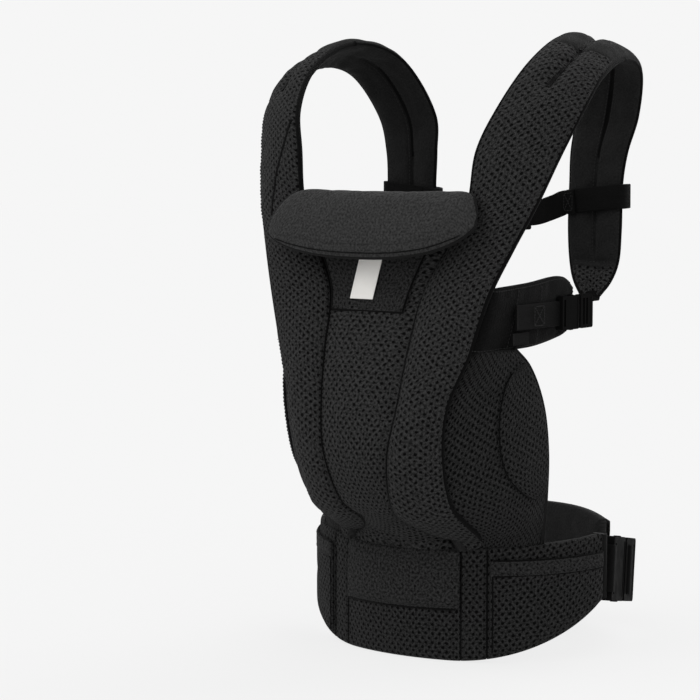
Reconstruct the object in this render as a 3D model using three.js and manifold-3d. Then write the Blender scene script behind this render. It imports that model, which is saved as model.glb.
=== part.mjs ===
// Soft baby carrier: a padded front panel on a waist belt, two looped shoulder straps,
// a fold-down head support, and side-release buckles at the waist, the chest and both sides.
// Millimetres, +Z up, the panel faces -Y and the wearer stands on the +Y side.
import * as THREE from 'three';
import { mergeVertices } from 'three/addons/utils/BufferGeometryUtils.js';
import Module from 'manifold-3d';

const wasm = await Module();
wasm.setup();

// Driving dimensions -----------------------------------------------------------------------
const SHIFT_Y = 35;              // the waist ring's centre, from the middle of the whole object
const GAP = 0.5;                 // clearance between sewn neighbours

const RING_HALF_WIDTH = 172;     // waist ring, outer face, along X
const RING_HALF_DEPTH = 144;     // waist ring, outer face, along Y
const BELT_END = 82;             // degrees round from the front to a belt end
const BELT_SEAM_FRONT = 23.8;    // degrees to the seam beside the front panel
const BELT_SEAM_SIDE = 33;       // degrees to the seam of the side panel
const BELT_COVER = 5;            // thickness of the outer cover panels
const BELT_LINING = 9;           // thickness of the foam lining
const POCKET_CLOTH = 2.2;

const REAR_RADIUS = 193.5;       // the webbing's arc behind the wearer
const REAR_CENTRE_Y = RING_HALF_DEPTH - REAR_RADIUS;
const REAR_HEIGHT = 62;          // middle of the waist webbing there
const LUMBAR_HALF_ANGLE = 30;    // degrees
const LUMBAR_HEIGHT = 125;
const LUMBAR_FOAM = 12;

const WAIST_WEBBING = 50;
const SIDE_WEBBING = 25;
const WEBBING_THICKNESS = 1.8;

const PANEL_THICKNESS = 6;
const WING_THICKNESS = 7;
const WING_TUCK = 6;             // how far a wing's front edge lies behind the band's edge
const THIGH_PAD_THICKNESS = 5;
const STRAP_THICKNESS = 14;
const EDGE_THICKNESS = 3.5;      // a padded piece at its sewn edge
const LINING_THICKNESS = 4;
const LINING_OFFSET = 11.5;      // middle of the lining behind the middle of the panel

const FLAP_RIGHT = { half: 126, fold: 97, top: 0.56, tip: 0.6 };
const FLAP_LEFT = { half: 121, fold: 78, top: 0.68, tip: 0.74 };   // its corner hangs lower
const FLAP_THICKNESS = 11;

const CHEST_HEIGHT = 457;        // middle of the chest webbing where it meets the back straps
const CHEST_SAG = 12;
const CHEST_Y = 36;

const TAU = Math.PI * 2;
const DEG = Math.PI / 180;

// Colours ----------------------------------------------------------------------------------
const FINISH = {
  mesh: { color: 0x2a2a2c, roughness: 0.9, metalness: 0 },
  smooth: { color: 0x363637, roughness: 0.85, metalness: 0 },
  lining: { color: 0x1e1e20, roughness: 0.9, metalness: 0 },
  webbing: { color: 0x18181a, roughness: 0.7, metalness: 0 },
  plastic: { color: 0x141416, roughness: 0.45, metalness: 0 },
  label: { color: 0xe8e6e1, roughness: 0.8, metalness: 0 },
};

// Numbers and curves -----------------------------------------------------------------------
const lerp = THREE.MathUtils.lerp;
const clamp = THREE.MathUtils.clamp;
const vec = (x, y, z) => new THREE.Vector3(x, y, z);

// A smooth curve through [x, y] knots, as a function of x.
function spline(knots) {
  return (x) => {
    let i = 0;
    while (i < knots.length - 2 && x > knots[i + 1][0]) i += 1;
    const [x0, y0] = knots[i];
    const [x1, y1] = knots[i + 1];
    const before = knots[Math.max(i - 1, 0)];
    const after = knots[Math.min(i + 2, knots.length - 1)];
    const slope0 = (y1 - before[1]) / (x1 - before[0]);
    const slope1 = (after[1] - y0) / (after[0] - x0);
    const h = x1 - x0;
    const s = clamp((x - x0) / h, 0, 1);
    const s2 = s * s;
    const s3 = s2 * s;
    return (2 * s3 - 3 * s2 + 1) * y0 + (s3 - 2 * s2 + s) * h * slope0
      + (3 * s2 - 2 * s3) * y1 + (s3 - s2) * h * slope1;
  };
}

// 0 on the rim of the unit square, 1 over its middle: how a padded piece fills out.
function pillow(u, v, rim = 0.22) {
  const rise = (s) => Math.sin(clamp(Math.min(s, 1 - s) / rim, 0, 1) * Math.PI / 2);
  return rise(u) * rise(v);
}

// Solids -----------------------------------------------------------------------------------
// A closed skin of the given thickness about the surface point(u, v), u and v from 0 to 1.
// With closed = true the u direction runs round into itself.
function skin(nu, nv, point, thickness, closed = false) {
  const step = 1e-3;
  const columns = closed ? nu : nu + 1;
  const rows = nv + 1;
  const positions = [[], []];
  for (let i = 0; i < columns; i += 1) {
    for (let j = 0; j < rows; j += 1) {
      const u = i / nu;
      const v = j / nv;
      const u0 = closed ? u - step : Math.max(u - step, 0);
      const u1 = closed ? u + step : Math.min(u + step, 1);
      const along = point(u1, v).sub(point(u0, v));
      const across = point(u, Math.min(v + step, 1)).sub(point(u, Math.max(v - step, 0)));
      const normal = along.cross(across).normalize();
      const half = (typeof thickness === 'number' ? thickness : thickness(u, v)) / 2;
      const middle = point(u, v);
      positions[0].push(middle.clone().addScaledVector(normal, half));
      positions[1].push(middle.clone().addScaledVector(normal, -half));
    }
  }
  const at = (side, i, j) => side * columns * rows + (i % columns) * rows + j;
  const index = [];
  const quad = (a, b, c, d) => index.push(a, b, c, a, c, d);
  for (let i = 0; i < nu; i += 1) {
    for (let j = 0; j < nv; j += 1) {
      quad(at(0, i, j), at(0, i + 1, j), at(0, i + 1, j + 1), at(0, i, j + 1));
      quad(at(1, i, j), at(1, i, j + 1), at(1, i + 1, j + 1), at(1, i + 1, j));
    }
    quad(at(0, i + 1, 0), at(0, i, 0), at(1, i, 0), at(1, i + 1, 0));
    quad(at(0, i, nv), at(0, i + 1, nv), at(1, i + 1, nv), at(1, i, nv));
  }
  if (!closed) {
    for (let j = 0; j < nv; j += 1) {
      quad(at(0, 0, j), at(0, 0, j + 1), at(1, 0, j + 1), at(1, 0, j));
      quad(at(0, nu, j + 1), at(0, nu, j), at(1, nu, j), at(1, nu, j + 1));
    }
  }
  const geometry = new THREE.BufferGeometry();
  const flat = positions.flat().flatMap((p) => [p.x, p.y, p.z]);
  geometry.setAttribute('position', new THREE.Float32BufferAttribute(flat, 3));
  geometry.setIndex(index);
  return geometry;
}

// Flat webbing along a path of points, with the direction of its width at each of them.
function webbing(path, widths, width, steps) {
  const line = new THREE.CatmullRomCurve3(path);
  const sides = new THREE.CatmullRomCurve3(widths);
  const point = (u, v) => {
    const side = sides.getPoint(u).normalize();
    return line.getPoint(u).addScaledVector(side, (v - 0.5) * width);
  };
  return skin(steps, 1, point, WEBBING_THICKNESS);
}

// The same geometry on the other side of the carrier.
function mirrored(geometry) {
  const copy = geometry.clone();
  copy.deleteAttribute('normal');
  copy.scale(-1, 1, 1);
  const index = copy.getIndex();
  for (let i = 0; i < index.count; i += 3) {
    const first = index.getX(i);
    index.setX(i, index.getX(i + 1));
    index.setX(i + 1, first);
  }
  return copy;
}

function toManifold(geometry) {
  const bare = geometry.clone();
  bare.deleteAttribute('normal');
  bare.deleteAttribute('uv');
  const merged = mergeVertices(bare, 1e-4);
  return new wasm.Manifold(new wasm.Mesh({
    numProp: 3,
    vertProperties: new Float32Array(merged.getAttribute('position').array),
    triVerts: new Uint32Array(merged.getIndex().array),
  }));
}

function fromManifold(solid) {
  const { vertProperties, triVerts } = solid.getMesh();
  const geometry = new THREE.BufferGeometry();
  geometry.setAttribute('position', new THREE.Float32BufferAttribute(vertProperties, 3));
  geometry.setIndex(Array.from(triVerts));
  return geometry;
}

// One solid: the first piece, with those in add joined to it and those in cut taken away.
function shape(base, { add = [], cut = [] }) {
  let solid = toManifold(base);
  add.forEach((piece) => { solid = solid.add(toManifold(piece)); });
  cut.forEach((piece) => { solid = solid.subtract(toManifold(piece)); });
  return fromManifold(solid);
}

// A box between two corners.
function block(low, high) {
  const size = high.map((value, i) => value - low[i]);
  const box = new THREE.BoxGeometry(...size);
  return box.translate(...low.map((value, i) => value + size[i] / 2));
}

// A plate in the XY plane with rounded corners, from z = low to z = high.
function plate(x0, x1, halfWidth, low, high, radius) {
  const outline = new THREE.Shape();
  outline.moveTo(x0 + radius, -halfWidth);
  outline.lineTo(x1 - radius, -halfWidth);
  outline.absarc(x1 - radius, -halfWidth + radius, radius, -Math.PI / 2, 0);
  outline.absarc(x1 - radius, halfWidth - radius, radius, 0, Math.PI / 2);
  outline.absarc(x0 + radius, halfWidth - radius, radius, Math.PI / 2, Math.PI);
  outline.absarc(x0 + radius, -halfWidth + radius, radius, Math.PI, Math.PI * 1.5);
  const options = { depth: high - low, bevelEnabled: false, curveSegments: 4 };
  return new THREE.ExtrudeGeometry(outline, options).translate(0, 0, low);
}

// Waist belt -------------------------------------------------------------------------------
// A point of the waist ring, phi degrees round from the front, offset outwards from its face.
function ring(phi, offset, z) {
  const sin = Math.sin(phi * DEG);
  const cos = Math.cos(phi * DEG);
  const normal = vec(sin / RING_HALF_WIDTH, -cos / RING_HALF_DEPTH, 0).normalize();
  return vec(RING_HALF_WIDTH * sin, -RING_HALF_DEPTH * cos, z).addScaledVector(normal, offset);
}

const beltTop = (phi) => 113.5 + 13 * (Math.abs(phi) / 90) ** 1.6;
const beltBottom = (phi) => 74 * Math.max(0, (Math.abs(phi) - 20) / 70) ** 1.9;

// A layer of the belt between two angles; inset lifts its lower edge and lowers its upper one.
function beltLayer(from, to, face, thickness, columns, inset = 0) {
  const point = (u, v) => {
    const phi = lerp(from, to, u);
    const z = lerp(beltBottom(phi) + inset, beltTop(phi) - inset, v);
    return ring(phi, face - thickness / 2, z);
  };
  const rim = Math.min(thickness, EDGE_THICKNESS);
  return skin(columns, 4, point, (u, v) => lerp(rim, thickness, pillow(u, v)));
}

// The patch pocket on a side panel: its bag reaches the belt's lower edge, its mouth is high.
function beltPocket() {
  const point = (u, v) => {
    const phi = lerp(35, 80, u);
    const low = beltBottom(phi) + 6;
    const high = beltTop(phi) - lerp(13, 17, u);
    return ring(phi, POCKET_CLOTH / 2 + GAP, lerp(low, high, v));
  };
  return skin(10, 3, point, POCKET_CLOTH);
}

// Shoulder strap and panel band ------------------------------------------------------------
// Matching stations of the right strap's inner and outer edges: from the belt up the side of
// the front panel, over the shoulder, and down behind it to the narrow lower end.
const STRAP_STATIONS = [
  [[66, -126, 122], [87, -116, 122]],
  [[41, -141, 130], [89, -129, 131]],
  [[27, -165, 145], [89, -151, 145]],
  [[30, -195, 164], [86, -173, 164]],
  [[38, -214, 214], [88, -192, 214]],
  [[46, -207, 264], [96, -196, 264]],
  [[50, -196, 313], [114, -186, 313]],
  [[57, -177, 372], [132, -178, 372]],
  [[80, -170, 418], [150, -164, 418]],
  [[100, -167, 461], [167, -148, 461]],
  [[107, -163, 511], [182, -127, 511]],
  [[121, -147, 553], [192, -107, 548]],
  [[131, -106, 597], [194, -74, 582]],
  [[128, -38, 624], [187, -18, 601]],
  [[113, 26, 609], [180, 28, 592]],
  [[89, 56, 548], [162, 55, 546]],
  [[85, 52, 510], [151, 53, 510]],
  [[85, 50, 478], [147, 50, 478]],
  [[85, 48, 430], [147, 48, 430]],
  [[92, 40, 396], [144, 48, 396]],
  [[103, 29, 378], [140, 41, 378]],
  [[118, 19, 362], [135, 26, 363]],
];
const STRAP_LAST = STRAP_STATIONS.length - 1;
const BAND_TOP = 9;              // the station where the band leaves the panel
const SHOULDER_FRONT = 12;
const SHOULDER_BACK = 15;
const WING_TOP = 6.05;

const strapInner = new THREE.CatmullRomCurve3(STRAP_STATIONS.map(([edge]) => vec(...edge)));
const strapOuter = new THREE.CatmullRomCurve3(STRAP_STATIONS.map(([, edge]) => vec(...edge)));

// A point of the strap's middle surface at a station, across from inner (0) to outer (1) edge.
function strap(station, across) {
  const t = station / STRAP_LAST;
  const inner = strapInner.getPoint(t);
  const chord = strapOuter.getPoint(t).sub(inner);
  const tangent = strapInner.getTangent(t).add(strapOuter.getTangent(t));
  const outward = chord.clone().cross(tangent).normalize();
  const crown = 5 * Math.sin(Math.PI * across);
  return inner.addScaledVector(chord, across).addScaledVector(outward, crown);
}

// A stretch of the strap between two stations, as one padded solid.
function strapPiece(from, to, steps) {
  const seam = 0.012;
  const point = (u, v) => strap(lerp(from + seam, to - seam, u), lerp(0.008, 0.992, v));
  const fill = (u) => clamp(lerp(from, to, u) / 2.5, 0, 1);
  const thickness = (u, v) => lerp(EDGE_THICKNESS, STRAP_THICKNESS, fill(u) * pillow(0.5, v, 0.3));
  return skin(steps, 6, point, thickness);
}

// Front panel ------------------------------------------------------------------------------
const panelMiddle = spline([
  [112, -139], [126, -146], [140, -163], [162, -196], [190, -210], [215, -217],
  [264, -211], [313, -199], [372, -178], [430, -169], [474, -168],
]);

// The panel between its two seams: across from -1 to 1, up from the belt to the fold.
function panel(across, up) {
  const seam = strapInner.getPoint(up * BAND_TOP / STRAP_LAST);
  const dip = (6.5 - 4 * across * across) * Math.max(0, 1 - up * 5);
  const y = lerp(panelMiddle(seam.z - dip), seam.y, across * across);
  return vec(seam.x * across, y, seam.z - dip);
}

function frontPanel() {
  const point = (u, v) => {
    const reach = 0.983 - 0.055 * (1 - v) ** 3;
    return panel(lerp(-reach, reach, u), lerp(0, 0.985, v));
  };
  return skin(10, 14, point, (u, v) => lerp(EDGE_THICKNESS, PANEL_THICKNESS, pillow(u, v)));
}

// The lining spans the panel and both bands behind them.
function panelLining() {
  const half = 0.62;
  const point = (u, v) => {
    const side = lerp(-1, 1, u);
    const up = lerp(0.02, 0.99, v);
    const station = up * BAND_TOP;
    const step = 0.02;
    const place = (s, n) => {
      const across = Math.abs(s);
      if (across < half) return panel(s / half, n / BAND_TOP);
      const spot = strap(n, (across - half) / (1 - half) * 0.8);
      spot.x *= Math.sign(s);
      return spot;
    };
    const along = place(side, station + step).sub(place(side, station - step));
    const wide = place(Math.min(side + step, 1), station);
    wide.sub(place(Math.max(side - step, -1), station));
    const inward = along.cross(wide).normalize();
    return place(side, station).addScaledVector(inward, LINING_OFFSET);
  };
  return skin(14, 12, point, LINING_THICKNESS);
}

// The stowed hood's pocket, a patch on the panel under the head support.
function hoodPocket() {
  const point = (u, v) => {
    const up = lerp(0.74, 0.9, v);
    const spot = panel(lerp(-0.82, 0.82, u), up);
    return spot.add(vec(0, -(PANEL_THICKNESS / 2 + 2), 0));
  };
  return skin(8, 4, point, 2);
}

function label() {
  const point = (u, v) => {
    const up = lerp(0.768, 0.872, v);
    const x = lerp(-23, 7, u);
    const spot = panel(x / panel(1, up).x, up);
    return spot.add(vec(0, -(PANEL_THICKNESS / 2 + 4.2), 0));
  };
  return skin(4, 3, point, 0.8);
}

// Seat wing and thigh pad ------------------------------------------------------------------
const wingRear = new THREE.CatmullRomCurve3([
  vec(132, -80, 124), vec(139, -86, 165), vec(142, -89, 215), vec(142, -99, 262),
  vec(139, -119, 300), vec(134, -138, 317),
]);

// A point of the wing from the band (0) to the leg opening (1), up from the belt.
function wing(across, up) {
  const front = strapOuter.getPoint(up * WING_TOP / STRAP_LAST);
  const rear = wingRear.getPoint(up);
  const bulge = 14 * Math.sin(Math.PI * across) * Math.sin(Math.PI * clamp(up * 0.9 + 0.08, 0, 1));
  const tuck = WING_TUCK * (1 - across) ** 7 * THREE.MathUtils.smoothstep(up, 0, 0.25);
  return front.lerp(rear, across).add(vec(bulge * 0.8 - tuck * 0.5, tuck * 0.85 - bulge * 0.5, 0));
}

function seatWing() {
  const point = (u, v) => wing(lerp(0.03, 1, u), v);
  return skin(7, 10, point, (u, v) => lerp(EDGE_THICKNESS, WING_THICKNESS, pillow(u, v)));
}

// The D-shaped pad over the leg opening's edge, on the wing's outer face.
function thighPad() {
  const point = (u, v) => {
    const bow = Math.sqrt(Math.max(0, 1 - (2 * v - 1) ** 2));
    const across = lerp(0.97 - 0.08 - 0.42 * bow, 0.97, u);
    const up = lerp(0.24, 0.86, v);
    const step = 0.01;
    const along = wing(across, up + step).sub(wing(across, up - step));
    const wide = wing(across + step, up).sub(wing(across - step, up));
    const outward = wide.cross(along).normalize();
    const lift = WING_THICKNESS / 2 + THIGH_PAD_THICKNESS / 2 + GAP;
    return wing(across, up).addScaledVector(outward, lift);
  };
  return skin(6, 8, point, (u, v) => lerp(2, THIGH_PAD_THICKNESS, pillow(u, v)));
}

// Head support -----------------------------------------------------------------------------
// The flap's profile from its fold over the panel's top edge down to its lower edge: Y, Z.
const flapProfile = new THREE.SplineCurve([
  new THREE.Vector2(-174, 467), new THREE.Vector2(-182, 467.5), new THREE.Vector2(-191, 459),
  new THREE.Vector2(-199, 443), new THREE.Vector2(-205, 425), new THREE.Vector2(-208, 407),
]);

function headSupport() {
  const point = (u, v) => {
    const end = u < 0.5 ? FLAP_LEFT : FLAP_RIGHT;
    const x = lerp(-1, 1, u) * (end.half - 1);
    const reach = Math.abs(x) / end.half;
    const fold = end.fold / end.half;
    const shoulder = Math.max(0, (reach - fold) / (1 - fold));
    const top = end.top * shoulder ** 1.5;
    const bottom = end.tip + (1 - end.tip) * (1 - reach ** 2.4) ** 0.6;
    const spot = flapProfile.getPoint(lerp(top, bottom, v));
    return vec(x, spot.x + 7 * reach ** 2.5, spot.y);
  };
  return skin(20, 6, point, (u, v) => lerp(EDGE_THICKNESS, FLAP_THICKNESS, pillow(u, v, 0.3)));
}

// Buckles ----------------------------------------------------------------------------------
// A side-release buckle along +X: the housing from 0, the latch pulling out towards +X, width
// along Y, outer face towards +Z. All lengths follow the webbing's width.
function buckleSizes(strapWidth) {
  const small = strapWidth < 40;
  const housing = small ? 32 : 46;
  return {
    strapWidth,
    half: strapWidth / 2 + (small ? 4.5 : 8),
    housing,
    thickness: small ? 8.5 : 11.5,
    wall: small ? 1.5 : 2.1,
    bar: small ? 3 : 4.5,
    slot: small ? 3.4 : 5.2,
    neck: small ? 4 : 9,
    latch: small ? 24 : 38,
    windowFrom: small ? 13 : 20,
    windowTo: small ? 24 : 36,
    arm: small ? 2.4 : 4,
  };
}

function buckleHousing(b) {
  const cavityFrom = b.bar * 2 + b.slot;
  const inside = b.thickness / 2 - b.wall;
  const body = plate(0, b.housing, b.half, -b.thickness / 2, b.thickness / 2, b.bar * 0.8);
  const slotHalf = b.strapWidth / 2 + 0.8;
  const cuts = [
    block([cavityFrom, -(b.half - b.wall * 1.3), -inside], [b.housing + 1, b.half - b.wall * 1.3, inside]),
    block([b.bar, -slotHalf, -b.thickness], [b.bar + b.slot, slotHalf, b.thickness]),
  ];
  [-1, 1].forEach((side) => {
    const edges = [side * (b.half - b.wall * 2), side * (b.half + 1)].sort((p, q) => p - q);
    cuts.push(block([b.windowFrom, edges[0], -inside], [b.windowTo, edges[1], inside]));
  });
  return shape(body, { cut: cuts });
}

function buckleLatch(b) {
  const start = b.housing + b.neck;
  const end = start + b.latch;
  const half = b.thickness / 2 - 0.6;
  const inside = b.thickness / 2 - b.wall - 0.4;
  const slotHalf = b.strapWidth / 2 + 0.8;
  const body = plate(start, end, b.half, -half, half, b.bar * 0.8);
  const tongueFrom = b.bar * 2 + b.slot + 2;
  const tongueHalf = b.half - b.arm * 4.2;
  const tongue = plate(tongueFrom, start + 1, tongueHalf, -inside, inside, 1.5);
  const first = start + b.bar * 1.6;
  const second = first + b.slot + b.bar * 0.9;
  const slots = [first, second].map((x) => block(
    [x, -slotHalf, -b.thickness],
    [x + b.slot, slotHalf, b.thickness],
  ));
  return shape(body, { add: [tongue], cut: slots });
}

// One sprung arm with its barbed head, on the +Y side.
function buckleArm(b) {
  const root = b.housing + b.neck - 0.4;
  const inside = b.thickness / 2 - b.wall - 0.4;
  const outline = new THREE.Shape();
  const rootY = b.half - b.arm * 2.2;
  const neckY = b.half - b.wall * 1.3 - b.arm - 0.7;
  outline.moveTo(root, rootY);
  outline.lineTo(root, rootY + b.arm);
  outline.lineTo(b.windowTo + 2, neckY + b.arm);
  outline.lineTo(b.windowTo - 0.6, neckY + b.arm);
  outline.lineTo(b.windowTo - 0.6, b.half + 0.6);
  outline.lineTo(b.windowFrom + (b.windowTo - b.windowFrom) * 0.4, b.half + 0.2);
  outline.lineTo(b.windowFrom + 1, neckY + b.arm);
  outline.lineTo(b.windowFrom + 1, neckY + b.arm * 0.4);
  outline.lineTo(b.windowTo, neckY);
  const options = { depth: inside * 2, bevelEnabled: false };
  return new THREE.ExtrudeGeometry(outline, options).translate(0, 0, -inside);
}

// The webbing's fold through the latch: up one slot, over the bar between, down the other.
function latchFold(b) {
  const start = b.housing + b.neck;
  const first = start + b.bar * 1.6 + b.slot / 2;
  const second = first + b.slot + b.bar * 0.9;
  const low = -(b.thickness / 2 + 0.2);
  const high = b.thickness / 2 + 1;
  const half = b.strapWidth / 2;
  const line = [
    vec(first, 0, low), vec(first, 0, high - 2), vec(first + 1.2, 0, high), vec(second - 1.2, 0, high),
    vec(second, 0, high - 2), vec(second, 0, low),
  ];
  const path = new THREE.CatmullRomCurve3(line, false, 'catmullrom', 0.2);
  const point = (u, v) => path.getPoint(u).add(vec(0, lerp(-half, half, v), 0));
  return skin(14, 1, point, 1.4);
}

// Side fastening ---------------------------------------------------------------------------
const SIDE_BUCKLE_START = -67;   // Y of the housing's webbing bar
const SIDE_BUCKLE_X = 143;
const SIDE_BUCKLE_Z = 350;

// The padded tab from the band's edge to behind the side buckle.
function sideTab() {
  const low = spline([[0, 321], [0.3, 320], [0.55, 319], [1, 330]]);
  const high = spline([[0, 380], [0.4, 383], [0.75, 387], [1, 383]]);
  const point = (u, v) => {
    const end = 9 * Math.max(0, (u - 0.86) / 0.14) ** 2;
    const z = lerp(low(u) + end, high(u) - end, v);
    const front = vec(lerp(117.4, 134, v), lerp(-183.5, -173.5, v), z);
    return front.lerp(vec(133, -27, z), u).add(vec(lerp(6, 3, v) * Math.sin(Math.PI * u), 0, 0));
  };
  return skin(10, 4, point, (u, v) => lerp(3, 7.5, pillow(u, v)));
}

function sideWebbing() {
  const y0 = -145;
  const y1 = SIDE_BUCKLE_START - 0.6;
  const point = (u, v) => vec(
    lerp(141.5, SIDE_BUCKLE_X, u),
    lerp(y0, y1, u),
    SIDE_BUCKLE_Z + (v - 0.5) * SIDE_WEBBING,
  );
  return skin(6, 1, point, WEBBING_THICKNESS);
}

function sideStay() {
  const point = (u, v) => vec(140.3, lerp(-150, -118, u), lerp(323, 335, v));
  return skin(3, 1, point, 1.6);
}

// The adjuster webbing from the side buckle's latch up into the strap's lower end.
function adjusterWebbing() {
  const start = SIDE_BUCKLE_START + 44;
  const x = SIDE_BUCKLE_X - 6.2;
  const path = [
    vec(x, start, SIDE_BUCKLE_Z), vec(x, -8, SIDE_BUCKLE_Z), vec(x - 2, 3, SIDE_BUCKLE_Z + 1),
    vec(x - 6, 14, SIDE_BUCKLE_Z + 4), vec(126.5, 21.5, SIDE_BUCKLE_Z + 9.5),
  ];
  const widths = [
    vec(0, 0, 1), vec(0, 0, 1), vec(0.25, 0, 0.97), vec(0.7, 0.2, 0.6), vec(0.93, 0.36, 0),
  ];
  return webbing(path, widths, SIDE_WEBBING - 4, 16);
}

// Chest strap ------------------------------------------------------------------------------
// The loop round the right back strap.
function chestLoop() {
  const halfX = 35;
  const halfY = 11;
  const corner = 9;
  const slope = 0.1;
  const outline = new THREE.Path();
  outline.moveTo(halfX, 0);
  outline.absarc(halfX - corner, halfY - corner, corner, 0, Math.PI / 2);
  outline.absarc(corner - halfX, halfY - corner, corner, Math.PI / 2, Math.PI);
  outline.absarc(corner - halfX, corner - halfY, corner, Math.PI, Math.PI * 1.5);
  outline.absarc(halfX - corner, corner - halfY, corner, Math.PI * 1.5, TAU);
  outline.closePath();
  const point = (u, v) => {
    const spot = outline.getPointAt(((u % 1) + 1) % 1);
    const z = CHEST_HEIGHT + 4 + slope * spot.x + (v - 0.5) * SIDE_WEBBING;
    return vec(116.5 + spot.x, 53.5 + spot.y, z);
  };
  return skin(36, 1, point, WEBBING_THICKNESS, true);
}

// The webbing from the right loop towards the buckle, ending at endX in the plane y = endY.
function chestWebbing(endX, endY) {
  const startX = 82;
  const startY = 39;
  const point = (u, v) => {
    const x = lerp(startX, endX, u);
    const rise = clamp((x - 46) / (startX - 46), 0, 1);
    const turn = THREE.MathUtils.smoothstep(x, 67, startX);
    const z = CHEST_HEIGHT - CHEST_SAG * (1 - rise ** 2);
    return vec(x, lerp(endY, startY, turn), z + (v - 0.5) * SIDE_WEBBING);
  };
  return skin(12, 1, point, WEBBING_THICKNESS);
}

// Waist webbing and lumbar pad -------------------------------------------------------------
// A point on the rear arc, theta degrees from straight behind towards +X.
function rear(theta, offset, z) {
  const radius = REAR_RADIUS + offset;
  return vec(radius * Math.sin(theta * DEG), REAR_CENTRE_Y + radius * Math.cos(theta * DEG), z);
}

const WAIST_BUCKLE_START = vec(168.5, -10, 88);
const WAIST_BUCKLE_END = vec(144, 79, 71);
const WAIST_UNDER = 7.8;         // the webbing's depth under the latch's middle

// The long webbing: from under the latch round the back to the belt's left end.
function waistWebbing() {
  const along = WAIST_BUCKLE_END.clone().sub(WAIST_BUCKLE_START).normalize();
  const outward = vec(along.y, -along.x, 0).normalize();
  const under = WAIST_BUCKLE_START.clone().addScaledVector(outward, -WAIST_UNDER);
  const path = [
    under.clone().addScaledVector(along, 68),
    under.clone().addScaledVector(along, 88),
    rear(42.5, 0, REAR_HEIGHT + 3),
    rear(36, 0, REAR_HEIGHT),
    rear(24, 0, REAR_HEIGHT), rear(12, 0, REAR_HEIGHT), rear(0, 0, REAR_HEIGHT),
    rear(-12, 0, REAR_HEIGHT), rear(-24, 0, REAR_HEIGHT), rear(-36, 0, REAR_HEIGHT),
    rear(-47, 0, REAR_HEIGHT + 6),
    ring(-113, -5, REAR_HEIGHT + 15), ring(-98, -7, REAR_HEIGHT + 24),
    ring(-BELT_END - 0.3, -7, REAR_HEIGHT + 29),
  ];
  const widths = path.map(() => vec(0, 0, 1));
  return webbing(path, widths, WAIST_WEBBING - 2, 64);
}

// The free tail of the waist webbing, folded back over it.
function waistTail() {
  const point = (u, v) => {
    const theta = lerp(42, 32.5, u);
    const z = REAR_HEIGHT + 3 * (1 - u) ** 2 + (v - 0.5) * (WAIST_WEBBING - 4);
    return rear(theta, 3.4, z);
  };
  return skin(6, 1, point, WEBBING_THICKNESS);
}

// The elastic keeper round webbing and tail.
function waistKeeper() {
  const theta = 36.5;
  const halfArc = 1.6;
  const halfHeight = WAIST_WEBBING / 2 + 2.4;
  const depth = 4.4;
  const outline = new THREE.Path();
  outline.absellipse(0, 0, depth, halfHeight, 0, TAU);
  const point = (u, v) => {
    const turn = ((u % 1) + 1) % 1 * TAU;
    const flat = 0.35;
    const side = Math.sign(Math.cos(turn)) * Math.abs(Math.cos(turn)) ** flat;
    const tall = Math.sign(Math.sin(turn)) * Math.abs(Math.sin(turn)) ** flat;
    const z = REAR_HEIGHT + 1 + halfHeight * tall;
    return rear(theta + lerp(-halfArc, halfArc, v), 1.7 + depth * side, z);
  };
  return skin(32, 1, point, 1.2, true);
}

// The lumbar pad's lower and upper edge: it stands on its middle and its ends are rounded off.
const lumbarLow = (theta) => 28 * THREE.MathUtils.smoothstep(Math.abs(theta), 8, 26);
const lumbarHigh = (theta) => LUMBAR_HEIGHT - 9 * (Math.abs(theta) / LUMBAR_HALF_ANGLE) ** 3;

function lumbarPad() {
  const point = (u, v) => {
    const theta = lerp(-LUMBAR_HALF_ANGLE, LUMBAR_HALF_ANGLE, u);
    return rear(theta, -(2.5 + LUMBAR_FOAM / 2), lerp(lumbarLow(theta), lumbarHigh(theta), v));
  };
  return skin(16, 5, point, (u, v) => lerp(EDGE_THICKNESS, LUMBAR_FOAM, pillow(u, v)));
}

function lumbarSleeve() {
  const reach = LUMBAR_HALF_ANGLE - 1.5;
  const point = (u, v) => {
    const theta = lerp(-reach, reach, u);
    return rear(theta, 3.6, lerp(lumbarLow(theta) + 4, lumbarHigh(theta) - 5, v));
  };
  return skin(16, 2, point, 2.4);
}

// The short webbing that ties the waist buckle's housing to the belt's right end.
function waistAnchor() {
  const b = buckleSizes(WAIST_WEBBING);
  const half = WAIST_WEBBING / 2 - 1;
  const low = b.thickness / 2 + 0.4;
  const turn = b.bar + b.slot / 2 - 0.4;
  const outside = block([-4.5, -half, -low - 1.4], [turn + 1.4, half, low + 1.4]);
  return shape(outside, { cut: [block([-6, -half - 1, -low], [turn, half + 1, low])] });
}

// Assembly ---------------------------------------------------------------------------------
const group = new THREE.Group();
const carrier = new THREE.Group();
carrier.position.set(0, SHIFT_Y, 0);
group.add(carrier);

function add(parent, name, geometry, finish) {
  const mesh = new THREE.Mesh(geometry, new THREE.MeshStandardMaterial(FINISH[finish]));
  mesh.name = name;
  parent.add(mesh);
}

// The right piece as made, and its mirror image for the left.
function addPair(name, geometry, finish) {
  add(carrier, `${name}_right`, geometry, finish);
  add(carrier, `${name}_left`, mirrored(geometry), finish);
}

// A buckle's own frame: origin at the start of its housing, local X along the pull.
function buckleFrame(origin, along, outward) {
  const frame = new THREE.Group();
  const x = along.clone().normalize();
  const z = outward.clone().addScaledVector(x, -outward.dot(x)).normalize();
  const y = z.clone().cross(x);
  frame.quaternion.setFromRotationMatrix(new THREE.Matrix4().makeBasis(x, y, z));
  frame.position.copy(origin);
  carrier.add(frame);
  return frame;
}

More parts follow.
